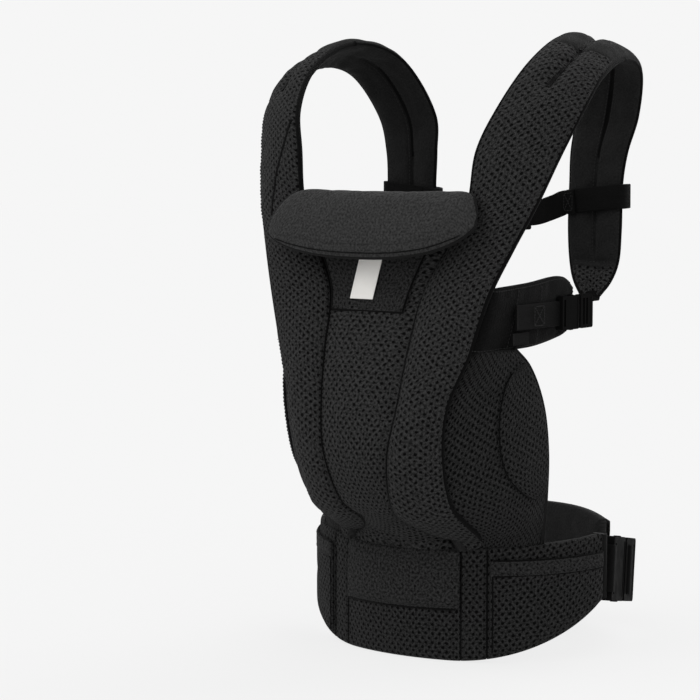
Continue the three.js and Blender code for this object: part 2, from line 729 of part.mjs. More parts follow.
function addBuckle(frame, name, strapWidth) {
  const b = buckleSizes(strapWidth);
  const arm = buckleArm(b);
  const flipped = arm.clone().rotateX(Math.PI);
  add(frame, `${name}_housing`, buckleHousing(b), 'plastic');
  add(frame, `${name}_latch`, buckleLatch(b), 'plastic');
  add(frame, `${name}_arm_a`, arm, 'plastic');
  add(frame, `${name}_arm_b`, flipped, 'plastic');
}

// belt
const seamGap = 0.15;            // degrees, half of the gap at each seam of the cover
const frontEdge = BELT_SEAM_FRONT - seamGap;
const lining = beltLayer(-BELT_END, BELT_END, -BELT_COVER - GAP, BELT_LINING, 34, 1.5);
const frontCover = beltLayer(-frontEdge, frontEdge, 0, BELT_COVER, 10);
const strip = beltLayer(BELT_SEAM_FRONT + seamGap, BELT_SEAM_SIDE - seamGap, 0, BELT_COVER, 3);
const sideCover = beltLayer(BELT_SEAM_SIDE + seamGap, BELT_END, 0, BELT_COVER, 12);
add(carrier, 'belt_lining', lining, 'lining');
add(carrier, 'belt_front_panel', frontCover, 'mesh');
addPair('belt_strip', strip, 'mesh');
addPair('belt_side_panel', sideCover, 'mesh');
addPair('belt_pocket', beltPocket(), 'mesh');

// panel
add(carrier, 'front_panel', frontPanel(), 'mesh');
add(carrier, 'panel_lining', panelLining(), 'lining');
add(carrier, 'hood_pocket', hoodPocket(), 'smooth');
add(carrier, 'woven_label', label(), 'label');
addPair('seat_wing', seatWing(), 'mesh');
addPair('thigh_pad', thighPad(), 'mesh');
add(carrier, 'head_support', headSupport(), 'smooth');

// straps
addPair('panel_band', strapPiece(0, BAND_TOP, 18), 'mesh');
addPair('strap_front', strapPiece(BAND_TOP, SHOULDER_FRONT, 6), 'mesh');
addPair('strap_top', strapPiece(SHOULDER_FRONT, SHOULDER_BACK, 9), 'lining');
addPair('strap_back', strapPiece(SHOULDER_BACK, STRAP_LAST, 12), 'lining');

// sides
addPair('side_tab', sideTab(), 'lining');
addPair('side_webbing', sideWebbing(), 'webbing');
addPair('side_stay', sideStay(), 'webbing');
addPair('adjuster_webbing', adjusterWebbing(), 'webbing');
[['right', 1], ['left', -1]].forEach(([side, sign]) => {
  const origin = vec(sign * SIDE_BUCKLE_X, SIDE_BUCKLE_START, SIDE_BUCKLE_Z);
  addBuckle(buckleFrame(origin, vec(0, 1, 0), vec(sign, 0, 0)), `side_buckle_${side}`, SIDE_WEBBING);
});

// chest
addPair('chest_loop', chestLoop(), 'webbing');
const chestSizes = buckleSizes(SIDE_WEBBING);
const chestStart = vec(-chestSizes.housing / 2, CHEST_Y, CHEST_HEIGHT - CHEST_SAG);
const chestFrame = buckleFrame(chestStart, vec(1, 0, 0), vec(0, 1, 0));
const chestFixed = mirrored(chestWebbing(GAP - chestStart.x, CHEST_Y));
const chestPassing = chestWebbing(26, CHEST_Y - 5.4);
addBuckle(chestFrame, 'chest_buckle', SIDE_WEBBING);
add(carrier, 'chest_webbing_left', chestFixed, 'webbing');
add(carrier, 'chest_webbing_right', chestPassing, 'webbing');

// waist
const waistAlong = WAIST_BUCKLE_END.clone().sub(WAIST_BUCKLE_START);
const waistFrame = buckleFrame(WAIST_BUCKLE_START, waistAlong, vec(waistAlong.y, -waistAlong.x, 0));
addBuckle(waistFrame, 'waist_buckle', WAIST_WEBBING);
add(waistFrame, 'waist_anchor_webbing', waistAnchor(), 'webbing');
add(waistFrame, 'waist_latch_fold', latchFold(buckleSizes(WAIST_WEBBING)), 'webbing');
add(carrier, 'waist_webbing', waistWebbing(), 'webbing');
add(carrier, 'waist_webbing_tail', waistTail(), 'webbing');
add(carrier, 'waist_keeper', waistKeeper(), 'webbing');
add(carrier, 'lumbar_pad', lumbarPad(), 'lining');
add(carrier, 'lumbar_sleeve', lumbarSleeve(), 'mesh');

export default group;
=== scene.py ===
import math
from types import SimpleNamespace

import bpy
import numpy as np
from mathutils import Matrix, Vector


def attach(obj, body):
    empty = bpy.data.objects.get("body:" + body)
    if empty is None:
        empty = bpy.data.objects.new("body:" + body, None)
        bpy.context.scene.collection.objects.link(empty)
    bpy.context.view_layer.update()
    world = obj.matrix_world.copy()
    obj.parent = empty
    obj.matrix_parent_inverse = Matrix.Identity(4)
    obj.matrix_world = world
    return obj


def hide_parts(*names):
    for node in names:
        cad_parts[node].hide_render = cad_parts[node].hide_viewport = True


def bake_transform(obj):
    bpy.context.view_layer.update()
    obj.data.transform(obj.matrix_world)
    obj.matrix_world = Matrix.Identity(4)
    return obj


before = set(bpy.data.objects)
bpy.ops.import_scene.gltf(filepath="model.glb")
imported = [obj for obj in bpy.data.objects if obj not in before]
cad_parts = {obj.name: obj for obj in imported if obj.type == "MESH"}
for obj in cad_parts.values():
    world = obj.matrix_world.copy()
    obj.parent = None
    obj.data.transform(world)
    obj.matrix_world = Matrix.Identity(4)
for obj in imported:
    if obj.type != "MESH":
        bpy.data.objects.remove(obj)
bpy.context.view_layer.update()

# A soft baby carrier: padded fabric panels sewn round a waist belt, two looped shoulder straps,
# a fold-down head support, webbing and side-release buckles. Metres throughout, +Z up.
# Places are given from the waist ring's own centre, which is SHIFT behind the frame's origin.

# Measures -----------------------------------------------------------------------------------
SHIFT = 0.035
RING_X, RING_Y = 0.172, 0.144        # half axes of the waist ring's outer face
BELT_END = 82                        # degrees from the front to a belt end
SEAM_FRONT, SEAM_SIDE = 23.8, 33     # degrees to the two seams beside the front cover
COVER, FOAM = 0.005, 0.009           # belt cover and lining thickness
REAR_RADIUS = 0.1935
REAR_Y = RING_Y - REAR_RADIUS
REAR_Z = 0.062
LUMBAR_ANGLE = 30
WAIST_WIDTH, SIDE_WIDTH = 0.050, 0.025
WEB = 0.0018                         # webbing thickness
BAND_TOP, SHOULDER, STRAP_LAST = 9, 12.6, 21
STRAP_CROWN = 0.005                  # how far its middle stands out from its edges
CHEST_Z, CHEST_SAG, CHEST_Y = 0.457, 0.012, 0.036
SIDE_X, SIDE_Y, SIDE_Z = 0.143, -0.067, 0.350
MIRROR = np.array([-1.0, 1.0, 1.0])
CENTRE = np.array([0, SHIFT, 0])     # the waist ring's centre
UP = np.array([0, 0, 1.0])
SIDES = (("right", np.ones(3)), ("left", MIRROR))
SEED, NOISE_CELLS = 11, 64

# Inner and outer edge of the right shoulder strap, from the belt over the shoulder and down.
STRAP_EDGES = [
    [(0.066, -0.126, 0.122), (0.087, -0.116, 0.122)],
    [(0.041, -0.141, 0.130), (0.089, -0.129, 0.131)],
    [(0.027, -0.165, 0.145), (0.089, -0.151, 0.145)],
    [(0.030, -0.195, 0.164), (0.086, -0.173, 0.164)],
    [(0.038, -0.214, 0.214), (0.088, -0.192, 0.214)],
    [(0.046, -0.207, 0.264), (0.096, -0.196, 0.264)],
    [(0.050, -0.196, 0.313), (0.114, -0.186, 0.313)],
    [(0.057, -0.177, 0.372), (0.132, -0.178, 0.372)],
    [(0.080, -0.170, 0.418), (0.150, -0.164, 0.418)],
    [(0.100, -0.167, 0.461), (0.167, -0.148, 0.461)],
    [(0.107, -0.163, 0.511), (0.182, -0.127, 0.511)],
    [(0.121, -0.147, 0.553), (0.192, -0.107, 0.548)],
    [(0.131, -0.106, 0.597), (0.194, -0.074, 0.582)],
    [(0.128, -0.038, 0.624), (0.187, -0.018, 0.601)],
    [(0.113, 0.026, 0.609), (0.180, 0.028, 0.592)],
    [(0.089, 0.056, 0.548), (0.162, 0.055, 0.546)],
    [(0.085, 0.052, 0.510), (0.151, 0.053, 0.510)],
    [(0.085, 0.050, 0.478), (0.147, 0.050, 0.478)],
    [(0.085, 0.048, 0.430), (0.147, 0.048, 0.430)],
    [(0.092, 0.040, 0.396), (0.144, 0.048, 0.396)],
    [(0.103, 0.029, 0.378), (0.140, 0.041, 0.378)],
    [(0.118, 0.019, 0.362), (0.135, 0.026, 0.363)],
]


# Camera, floor and light --------------------------------------------------------------------
def add_object(name, data):
    made = bpy.data.objects.new(name, data)
    bpy.context.scene.collection.objects.link(made)
    return made


CAMERA_AT = (1.3822, -2.0917, 0.523)
CAMERA_AZIMUTH, CAMERA_ELEVATION = 36, 5
CAMERA_LENS, CAMERA_SENSOR = 124.05, 36


def make_camera():
    data = bpy.data.cameras.new("camera")
    data.lens = CAMERA_LENS
    data.sensor_width = CAMERA_SENSOR
    camera = add_object("camera", data)
    camera.location = CAMERA_AT
    camera.rotation_euler = (math.radians(90 - CAMERA_ELEVATION), 0, math.radians(CAMERA_AZIMUTH))
    bpy.context.scene.camera = camera


PAPER = 0.921                        # radiance of the pale surroundings
FLOOR_GLOW = 0.85                    # share of the floor's paleness that no shadow dims
FLOOR_SHADE = 0.089                  # what it reflects besides
FLOOR_HALF, FLOOR_DROP = 12, 0.0004  # half its side, and its distance under the belt
SUNS = [                             # name, direction to it, irradiance, width in degrees
    ("key_light", (-0.55, -0.62, 0.80), 1.15, 50),
    ("side_light", (0.80, -0.25, 0.50), 0.45, 60),
    ("rear_light", (0.10, 0.80, 0.60), 1.60, 60),
]


def make_light(name, direction, irradiance, width):
    """A broad, soft light from far away."""
    data = bpy.data.lights.new(name, "SUN")
    data.energy = irradiance
    data.angle = math.radians(width)
    light = add_object(name, data)
    light.rotation_euler = Vector(direction).to_track_quat("Z", "Y").to_euler()


def make_studio():
    world = bpy.data.worlds.new("studio")
    world.use_nodes = True
    background = world.node_tree.nodes["Background"]
    background.inputs["Color"].default_value = (PAPER, PAPER, PAPER, 1)
    bpy.context.scene.world = world
    bpy.context.scene.view_settings.view_transform = "Standard"
    for name, direction, irradiance, width in SUNS:
        make_light(name, direction, irradiance, width)
    mesh = bpy.data.meshes.new("floor")
    corners = [(a * FLOOR_HALF, b * FLOOR_HALF, 0) for a, b in ((-1, -1), (1, -1), (1, 1), (-1, 1))]
    mesh.from_pydata(corners, [], [(0, 1, 2, 3)])
    floor = add_object("floor", mesh)
    floor.location.z = -FLOOR_DROP
    paper = bpy.data.materials.new("floor_paper")
    paper.use_nodes = True
    shader = paper.node_tree.nodes["Principled BSDF"]
    shader.inputs["Base Color"].default_value = (FLOOR_SHADE, FLOOR_SHADE, FLOOR_SHADE, 1)
    shader.inputs["Emission Color"].default_value = (1, 1, 1, 1)
    shader.inputs["Emission Strength"].default_value = PAPER * FLOOR_GLOW
    shader.inputs["Roughness"].default_value = 1.0
    shader.inputs["Specular IOR Level"].default_value = 0.0
    mesh.materials.append(paper)


make_camera()
make_studio()


# Materials ----------------------------------------------------------------------------------
class Nodes:
    """A material's node tree, with each node made in one call."""

    def __init__(self, name, roughness, specular, sheen=0.0, ior=1.3):
        self.material = bpy.data.materials.new(name)
        self.material.use_nodes = True
        self.tree = self.material.node_tree
        self.shader = self.tree.nodes["Principled BSDF"]
        self.shader.inputs["Roughness"].default_value = roughness
        self.shader.inputs["Specular IOR Level"].default_value = specular
        self.shader.inputs["IOR"].default_value = ior
        self.shader.inputs["Sheen Weight"].default_value = sheen
        self.shader.inputs["Sheen Roughness"].default_value = 0.45

    def put(self, socket, value):
        if isinstance(value, bpy.types.NodeSocket):
            self.tree.links.new(value, socket)
        else:
            socket.default_value = value

    def node(self, kind, inputs=(), **settings):
        made = self.tree.nodes.new(kind)
        for name, value in settings.items():
            setattr(made, name, value)
        for key, value in dict(inputs).items():
            self.put(made.inputs[key], value)
        return made

    def math(self, operation, a, b=0.0, clamp=False):
        made = self.node("ShaderNodeMath", {0: a, 1: b}, operation=operation, use_clamp=clamp)
        return made.outputs[0]

    def cloth_place(self):
        """Metres along and across the piece of cloth, as two numbers."""
        place = self.node("ShaderNodeUVMap", uv_map="cloth").outputs[0]
        split = self.node("ShaderNodeSeparateXYZ", {0: place})
        return place, split.outputs[0], split.outputs[1]

    def object_place(self):
        return self.node("ShaderNodeTexCoord").outputs["Object"]

    def noise(self, place, size, detail=2.0, roughness=0.5):
        """Noise from 0 to 1 whose features are about size metres across."""
        inputs = {"Vector": place, "Scale": 1 / size, "Detail": detail, "Roughness": roughness}
        return self.node("ShaderNodeTexNoise", inputs).outputs["Fac"]

    def spread(self, value, low, high, to_low=0.0, to_high=1.0):
        inputs = {0: value, 1: low, 2: high, 3: to_low, 4: to_high}
        made = self.node("ShaderNodeMapRange", inputs, interpolation_type="SMOOTHSTEP")
        return made.outputs[0]

    def wave(self, value, pitch):
        """A sine of the given pitch, from -1 to 1."""
        return self.math("SINE", self.math("MULTIPLY", value, 2 * math.pi / pitch))

    def total(self, *terms):
        """The sum of weight times value over (weight, value) pairs."""
        result = None
        for weight, value in terms:
            part = self.math("MULTIPLY", value, weight)
            result = part if result is None else self.math("ADD", result, part)
        return result

    def mix(self, factor, dark, light):
        inputs = {0: factor, 6: (*dark, 1), 7: (*light, 1)}
        return self.node("ShaderNodeMix", inputs, data_type="RGBA").outputs[2]

    def greys(self, base, dark, light, offset, *terms):
        """A grey from dark to light times base, by the sum of the terms and the offset."""
        tone = self.math("ADD", self.total(*terms), offset, clamp=True)
        return self.mix(tone, (base * dark,) * 3, (base * light,) * 3)

    def weave(self, along, across, pitch_along, pitch_across):
        """The product of two sines, as of threads that cross."""
        return self.math("MULTIPLY", self.wave(along, pitch_along), self.wave(across, pitch_across))

    def finish(self, colour, height, depth, roughness=None):
        """Colour, surface relief of the given depth in metres, and a varying roughness."""
        self.put(self.shader.inputs["Base Color"], colour)
        inputs = {"Height": height, "Distance": depth, "Strength": 1.0}
        bump = self.node("ShaderNodeBump", inputs)
        self.put(self.shader.inputs["Normal"], bump.outputs[0])
        if roughness is not None:
            self.put(self.shader.inputs["Roughness"], roughness)
        return self.material


def holes(n, along, across, pitch, row, radius):
    """1 in the small holes of a knit, in staggered rows, and 0 between them."""
    y = n.math("DIVIDE", across, row)
    odd = n.math("MODULO", n.math("FLOOR", n.math("ADD", y, 1000.0)), 2.0)
    x = n.math("ADD", n.math("DIVIDE", along, pitch), n.math("MULTIPLY", odd, 0.5))
    dx = n.math("MULTIPLY", n.math("SUBTRACT", n.math("FRACT", x), 0.5), pitch)
    dy = n.math("MULTIPLY", n.math("SUBTRACT", n.math("FRACT", y), 0.5), row)
    far = n.math("SQRT", n.math("ADD", n.math("POWER", dx, 2.0), n.math("POWER", dy, 2.0)))
    return n.spread(far, radius * 0.35, radius * 1.45, 1.0, 0.0)


def mesh_knit(name, strength, base):
    """Black air-mesh: a knit with staggered dimples, uneven loops between them, a soft nap."""
    n = Nodes(name, 0.92, 0.08, 0.02)
    place, along, across = n.cloth_place()
    wander = n.noise(place, 0.012, 1.0)
    bent = n.math("ADD", along, n.math("MULTIPLY", n.math("SUBTRACT", wander, 0.5), 0.0016))
    dimple = holes(n, bent, across, 0.0070, 0.0046, 0.00145)
    patch = n.spread(n.noise(place, 0.016, 3.0), 0.34, 0.60, 0.45, 1.0)
    dimple = n.math("MULTIPLY", dimple, patch)
    loops = n.spread(n.noise(place, 0.0023, 2.0, 0.6), 0.36, 0.64)
    rib = n.weave(along, across, 0.0031, 0.0020)
    fuzz = n.noise(place, 0.0009, 2.0)
    height = n.total((-strength, dimple), (0.10, rib), (0.30, loops), (0.18, fuzz))
    colour = n.greys(base, 0.08, 2.0, 0.16, (-0.78 * strength, dimple), (0.08, rib), (0.52, loops),
                     (0.16, fuzz))
    return n.finish(colour, height, 0.0012)


def smooth_cloth(name, base):
    """A fine, matt woven cloth with faint pin dots."""
    n = Nodes(name, 0.88, 0.10, 0.05)
    place, along, across = n.cloth_place()
    dots = holes(n, along, across, 0.0042, 0.0030, 0.0007)
    twill = n.wave(n.math("ADD", along, n.math("MULTIPLY", across, 1.6)), 0.0022)
    fuzz = n.spread(n.noise(place, 0.0024, 2.0), 0.33, 0.67)
    cloud = n.noise(place, 0.035, 2.0)
    height = n.total((-0.35, dots), (0.10, twill), (0.40, fuzz))
    colour = n.greys(base, 0.4, 1.75, 0.14, (-0.30, dots), (0.06, twill), (0.60, fuzz), (0.22, cloud))
    return n.finish(colour, height, 0.0008)


def soft_lining(name, base):
    """A plain fine jersey over foam."""
    n = Nodes(name, 0.9, 0.08, 0.03)
    place, along, across = n.cloth_place()
    rib = n.weave(along, across, 0.0012, 0.0016)
    fuzz = n.spread(n.noise(place, 0.0020, 3.0), 0.3, 0.7)
    cloud = n.noise(place, 0.022, 3.0)
    height = n.total((0.14, rib), (0.40, fuzz), (0.25, cloud))
    colour = n.greys(base, 0.45, 1.6, 0.08, (0.07, rib), (0.45, fuzz), (0.35, cloud))
    return n.finish(colour, height, 0.0008)


def woven_webbing(name, base):
    """Nylon webbing: fine lengthwise cords crossed by weft picks, with plain borders."""
    n = Nodes(name, 0.62, 0.06)
    place, along, across = n.cloth_place()
    cord = n.wave(across, 0.0016)
    pick = n.wave(n.math("ADD", along, n.math("MULTIPLY", n.math("ABSOLUTE", cord), 0.0006)), 0.0014)
    weave = n.math("MULTIPLY", cord, pick)
    fuzz = n.noise(place, 0.0006, 2.0)
    height = n.total((0.5, weave), (0.25, cord), (0.15, fuzz))
    colour = n.greys(base, 0.4, 1.7, 0.32, (0.16, weave), (0.08, cord), (0.34, fuzz))
    return n.finish(colour, height, 0.0004)


def ribbed_tape(name, base):
    """Grosgrain binding tape: fine ribs across its length."""
    n = Nodes(name, 0.75, 0.12, 0.02)
    place, along, _ = n.cloth_place()
    rib = n.wave(along, 0.0011)
    fuzz = n.noise(place, 0.0007, 2.0)
    colour = n.greys(base, 0.5, 1.6, 0.28, (0.12, rib), (0.4, fuzz))
    return n.finish(colour, n.total((0.4, rib), (0.2, fuzz)), 0.0003)


def moulded_plastic(name, base):
    """Black acetal with a fine spark-eroded grain and faint rubbed patches."""
    n = Nodes(name, 0.36, 0.03, ior=1.12)
    place = n.object_place()
    grain = n.noise(place, 0.0006, 3.0, 0.6)
    cloud = n.noise(place, 0.012, 3.0)
    colour = n.greys(base, 0.7, 1.5, 0.1, (0.25, grain), (0.5, cloud))
    rough = n.spread(cloud, 0.3, 0.7, 0.30, 0.46)
    return n.finish(colour, grain, 0.00012, rough)


def satin_label(name):
    """Plain white woven satin."""
    n = Nodes(name, 0.55, 0.4, 0.1)
    place, along, across = n.cloth_place()
    weave = n.weave(along, across, 0.0009, 0.0007)
    fuzz = n.noise(place, 0.0010, 2.0)
    tone = n.math("ADD", n.total((0.2, weave), (0.5, fuzz)), 0.25, clamp=True)
    colour = n.mix(tone, (0.66, 0.64, 0.61), (0.88, 0.87, 0.84))
    return n.finish(colour, n.total((0.5, weave), (0.3, fuzz)), 0.0002)


def sewing_thread(name, base):
    n = Nodes(name, 0.6, 0.15)
    twist = n.noise(n.object_place(), 0.0005, 1.0)
    return n.finish(n.mix(twist, (base * 0.6,) * 3, (base * 1.5,) * 3), twist, 0.0002)


MESH = mesh_knit("air_mesh", 1.0, 0.0205)
MESH_DEEP = mesh_knit("air_mesh_deep", 1.25, 0.0150)
MESH_FINE = mesh_knit("air_mesh_folded", 0.40, 0.0165)
SMOOTH = smooth_cloth("smooth_cloth", 0.0225)
LINING = soft_lining("soft_lining", 0.0170)
LINING_STRAP = soft_lining("soft_lining_strap", 0.0120)
# A much darker copy of the lining for the side tabs: painted shade, because the tabs face the lights.
LINING_SHADED = soft_lining("soft_lining_shaded", 0.0028)
WEBBING = woven_webbing("nylon_webbing", 0.0046)
TAPE = ribbed_tape("binding_tape", 0.0070)
PLASTIC = moulded_plastic("moulded_plastic", 0.0042)
# SEAM is a near-black ribbed tape that paints shade into seams, creases and folds. The straps' piping is
# also made in it.
SEAM = ribbed_tape("seam_shadow_tape", 0.0012)
LABEL = satin_label("label_satin")
THREAD = sewing_thread("sewing_thread", 0.020)


# Curves and surfaces ------------------------------------------------------------------------
def xyz(x, y, z):
    """Points from their coordinates about the ring's centre, in the frame."""
    x, y, z = np.broadcast_arrays(np.asarray(x, float), y, z)
    return np.stack([x, y + SHIFT, z], axis=-1)


def unit(v):
    return v / np.maximum(np.linalg.norm(v, axis=-1, keepdims=True), 1e-12)


def mixed(a, b, t):
    return a + (b - a) * t


def ridge(distance, width):
    """1 at no distance, falling smoothly to 0 over a few widths."""
    return np.exp(-(distance / width) ** 2)


def smooth(x, low=0.0, high=1.0):
    t = np.clip((x - low) / (high - low), 0, 1)
    return t * t * (3 - 2 * t)


class Curve:
    """A centripetal Catmull-Rom curve through points, called with 0 to 1."""

    def __init__(self, points):
        p = np.array(points, float)
        self.last = len(p) - 1
        self.points = np.vstack([2 * p[0] - p[1], p, 2 * p[-1] - p[-2]])

    def __call__(self, t):
        s = np.clip(np.asarray(t, float), 0, 1) * self.last
        i = np.minimum(s.astype(int), self.last - 1)
        w = (s - i)[..., None]
        a, b, c, d = (self.points[i + k] for k in range(4))
        ab, bc, cd = (np.linalg.norm(q - p, axis=-1, keepdims=True) ** 0.5
                      for p, q in ((a, b), (b, c), (c, d)))
        start = ((b - a) / ab - (c - a) / (ab + bc) + (c - b) / bc) * bc
        end = ((c - b) / bc - (d - b) / (bc + cd) + (d - c) / cd) * bc
        square, cube = w * w, w * w * w
        return (b + start * w + (3 * (c - b) - 2 * start - end) * square
                + (2 * (b - c) + start + end) * cube)


def spline(knots):
    """A smooth curve through (x, y) knots, as a function of x."""
    xs, ys = np.array(knots, float).T
    slopes = np.gradient(ys, xs)
    slopes[1:-1] = (ys[2:] - ys[:-2]) / (xs[2:] - xs[:-2])

    def value(x):
        i = np.clip(np.searchsorted(xs, x) - 1, 0, len(xs) - 2)
        h = xs[i + 1] - xs[i]
        s = np.clip((x - xs[i]) / h, 0, 1)
        return ((2 * s**3 - 3 * s**2 + 1) * ys[i] + (s**3 - 2 * s**2 + s) * h * slopes[i]
                + (3 * s**2 - 2 * s**3) * ys[i + 1] + (s**3 - s**2) * h * slopes[i + 1])

    return value


def noise(s, t, size, seed):
    """Smooth noise from -1 to 1 over a surface, with features about size metres across."""
    size_s, size_t = size if isinstance(size, tuple) else (size, size)
    values = np.random.default_rng(SEED + seed).uniform(-1, 1, (NOISE_CELLS, NOISE_CELLS))
    x, y = np.asarray(s) / size_s, np.asarray(t) / size_t
    i, j = np.floor(x).astype(int), np.floor(y).astype(int)
    wx, wy = smooth(x - i), smooth(y - j)
    corner = [[values[(i + a) % NOISE_CELLS, (j + b) % NOISE_CELLS] for b in (0, 1)] for a in (0, 1)]
    return mixed(mixed(corner[0][0], corner[1][0], wx), mixed(corner[0][1], corner[1][1], wx), wy)


def ring(phi, offset, z):
    """A point of the waist ring, phi degrees round from the front, offset outwards."""
    sin, cos = np.sin(np.radians(phi)), np.cos(np.radians(phi))
    normal = unit(np.stack([sin / RING_X, -cos / RING_Y, 0 * sin], -1))
    return xyz(RING_X * sin, -RING_Y * cos, z) + normal * np.asarray(offset)[..., None]


def belt_top(phi):
    return 0.1135 + 0.013 * (np.abs(phi) / 90) ** 1.6


def belt_bottom(phi):
    return 0.074 * np.maximum(0, (np.abs(phi) - 20) / 70) ** 1.9


def rear(theta, offset, z):
    """A point behind the wearer, theta degrees from straight behind towards +X."""
    radius = REAR_RADIUS + np.asarray(offset)
    angle = np.radians(theta)
    return xyz(radius * np.sin(angle), REAR_Y + radius * np.cos(angle), z)


strap_inner = Curve([inner for inner, _ in STRAP_EDGES])
strap_outer = Curve([outer for _, outer in STRAP_EDGES])


def strap(station, across):
    """The middle surface of the right strap, across from its inner to its outer edge."""
    t = np.asarray(station) / STRAP_LAST
    step = 1e-4
    inner, outer = strap_inner(t), strap_outer(t)
    run = strap_inner(t + step) - strap_inner(t - step) + strap_outer(t + step) - strap_outer(t - step)
    chord = outer - inner
    outward = unit(np.cross(chord, run))
    across = np.asarray(across)[..., None]
    point = inner + chord * across + outward * STRAP_CROWN * np.sin(np.pi * across)
    return point + CENTRE


panel_middle = spline([
    (0.112, -0.139), (0.126, -0.146), (0.140, -0.163), (0.162, -0.196), (0.190, -0.210),
    (0.215, -0.217), (0.264, -0.211), (0.313, -0.199), (0.372, -0.178), (0.430, -0.169),
    (0.474, -0.168),
])


def panel(across, up):
    """The front panel between its seams: across from -1 to 1, up from the belt to the fold."""
    seam = strap_inner(np.asarray(up) * BAND_TOP / STRAP_LAST)
    dip = (0.0065 - 0.004 * across**2) * np.maximum(0, 1 - up * 5)
    z = seam[..., 2] - dip
    y = mixed(panel_middle(z), seam[..., 1], across**2)
    return xyz(seam[..., 0] * across, y, z)


wing_rear = Curve([
    (0.132, -0.080, 0.124), (0.139, -0.086, 0.165), (0.142, -0.089, 0.215),
    (0.142, -0.099, 0.262), (0.139, -0.119, 0.300), (0.134, -0.138, 0.3185),
])


def wing(across, up):
    """The seat wing, across from the band to the leg opening, up from the belt."""
    front = strap_outer(np.asarray(up) * 6.1 / STRAP_LAST)
    back = wing_rear(up)
    bulge = 0.014 * np.sin(np.pi * across) * np.sin(np.pi * np.clip(up * 0.9 + 0.08, 0, 1))
    point = mixed(front, back, np.asarray(across)[..., None])
    tuck = 0.008 * np.clip(1 - across, 0, 1.1) ** 7 * smooth(up, 0, 0.25)
    point = point + np.stack([bulge * 0.8 - tuck * 0.5, tuck * 0.85 - bulge * 0.5, 0 * bulge], -1)
    return point + CENTRE


flap_profile = Curve([
    (-0.174, 0.467, 0), (-0.182, 0.4675, 0), (-0.191, 0.459, 0),
    (-0.199, 0.443, 0), (-0.205, 0.425, 0), (-0.208, 0.407, 0),
])


def flap(side, down):
    """The head support, side from -1 to 1, down from its fold to its lower edge. Its left
    corner hangs lower than its right one."""
    left = np.asarray(side) < 0
    half = np.where(left, 0.121, 0.126)
    fold = np.where(left, 0.078, 0.097) / half
    x = side * (half - 0.001)
    reach = np.abs(x) / half
    top = np.where(left, 0.68, 0.56) * np.maximum(0, (reach - fold) / (1 - fold)) ** 1.5
    tip = np.where(left, 0.74, 0.6)
    bottom = tip + (1 - tip) * (1 - reach**2.4) ** 0.6
    spot = flap_profile(mixed(top, bottom, down))
    return xyz(x, spot[..., 0] + 0.007 * reach**2.5, spot[..., 1])


def rooted(surface, depth, push=0.0):
    """The surface with its lower edge let into the belt: lowered by depth, and moved out
    from the ring's centre by the share push."""
    def low(u, v):
        part = (1 - smooth(v, 0, 0.05))[..., None]
        out = (surface(u, v) - CENTRE) * np.array([1, 1, 0]) * push
        return surface(u, v) + (out - np.array([0, 0, depth])) * part
    return low


# Cloth pieces -------------------------------------------------------------------------------
def spaced(cells):
    """0 to 1 in even steps, with one more point close to each end, where the edge turns."""
    steps = np.linspace(0, 1, cells + 1)
    return np.concatenate([[0, 0.35 / cells], steps[1:-1], [1 - 0.35 / cells, 1]])


def lengths(points, axis):
    """Distance run along a grid's rows or columns from their start."""
    steps = np.linalg.norm(np.diff(points, axis=axis), axis=-1)
    pad = [(0, 0), (0, 0)]
    pad[axis] = (1, 0)
    return np.pad(np.cumsum(steps, axis=axis), pad)


def grid_normals(points):
    return unit(np.cross(np.gradient(points, axis=0), np.gradient(points, axis=1)))


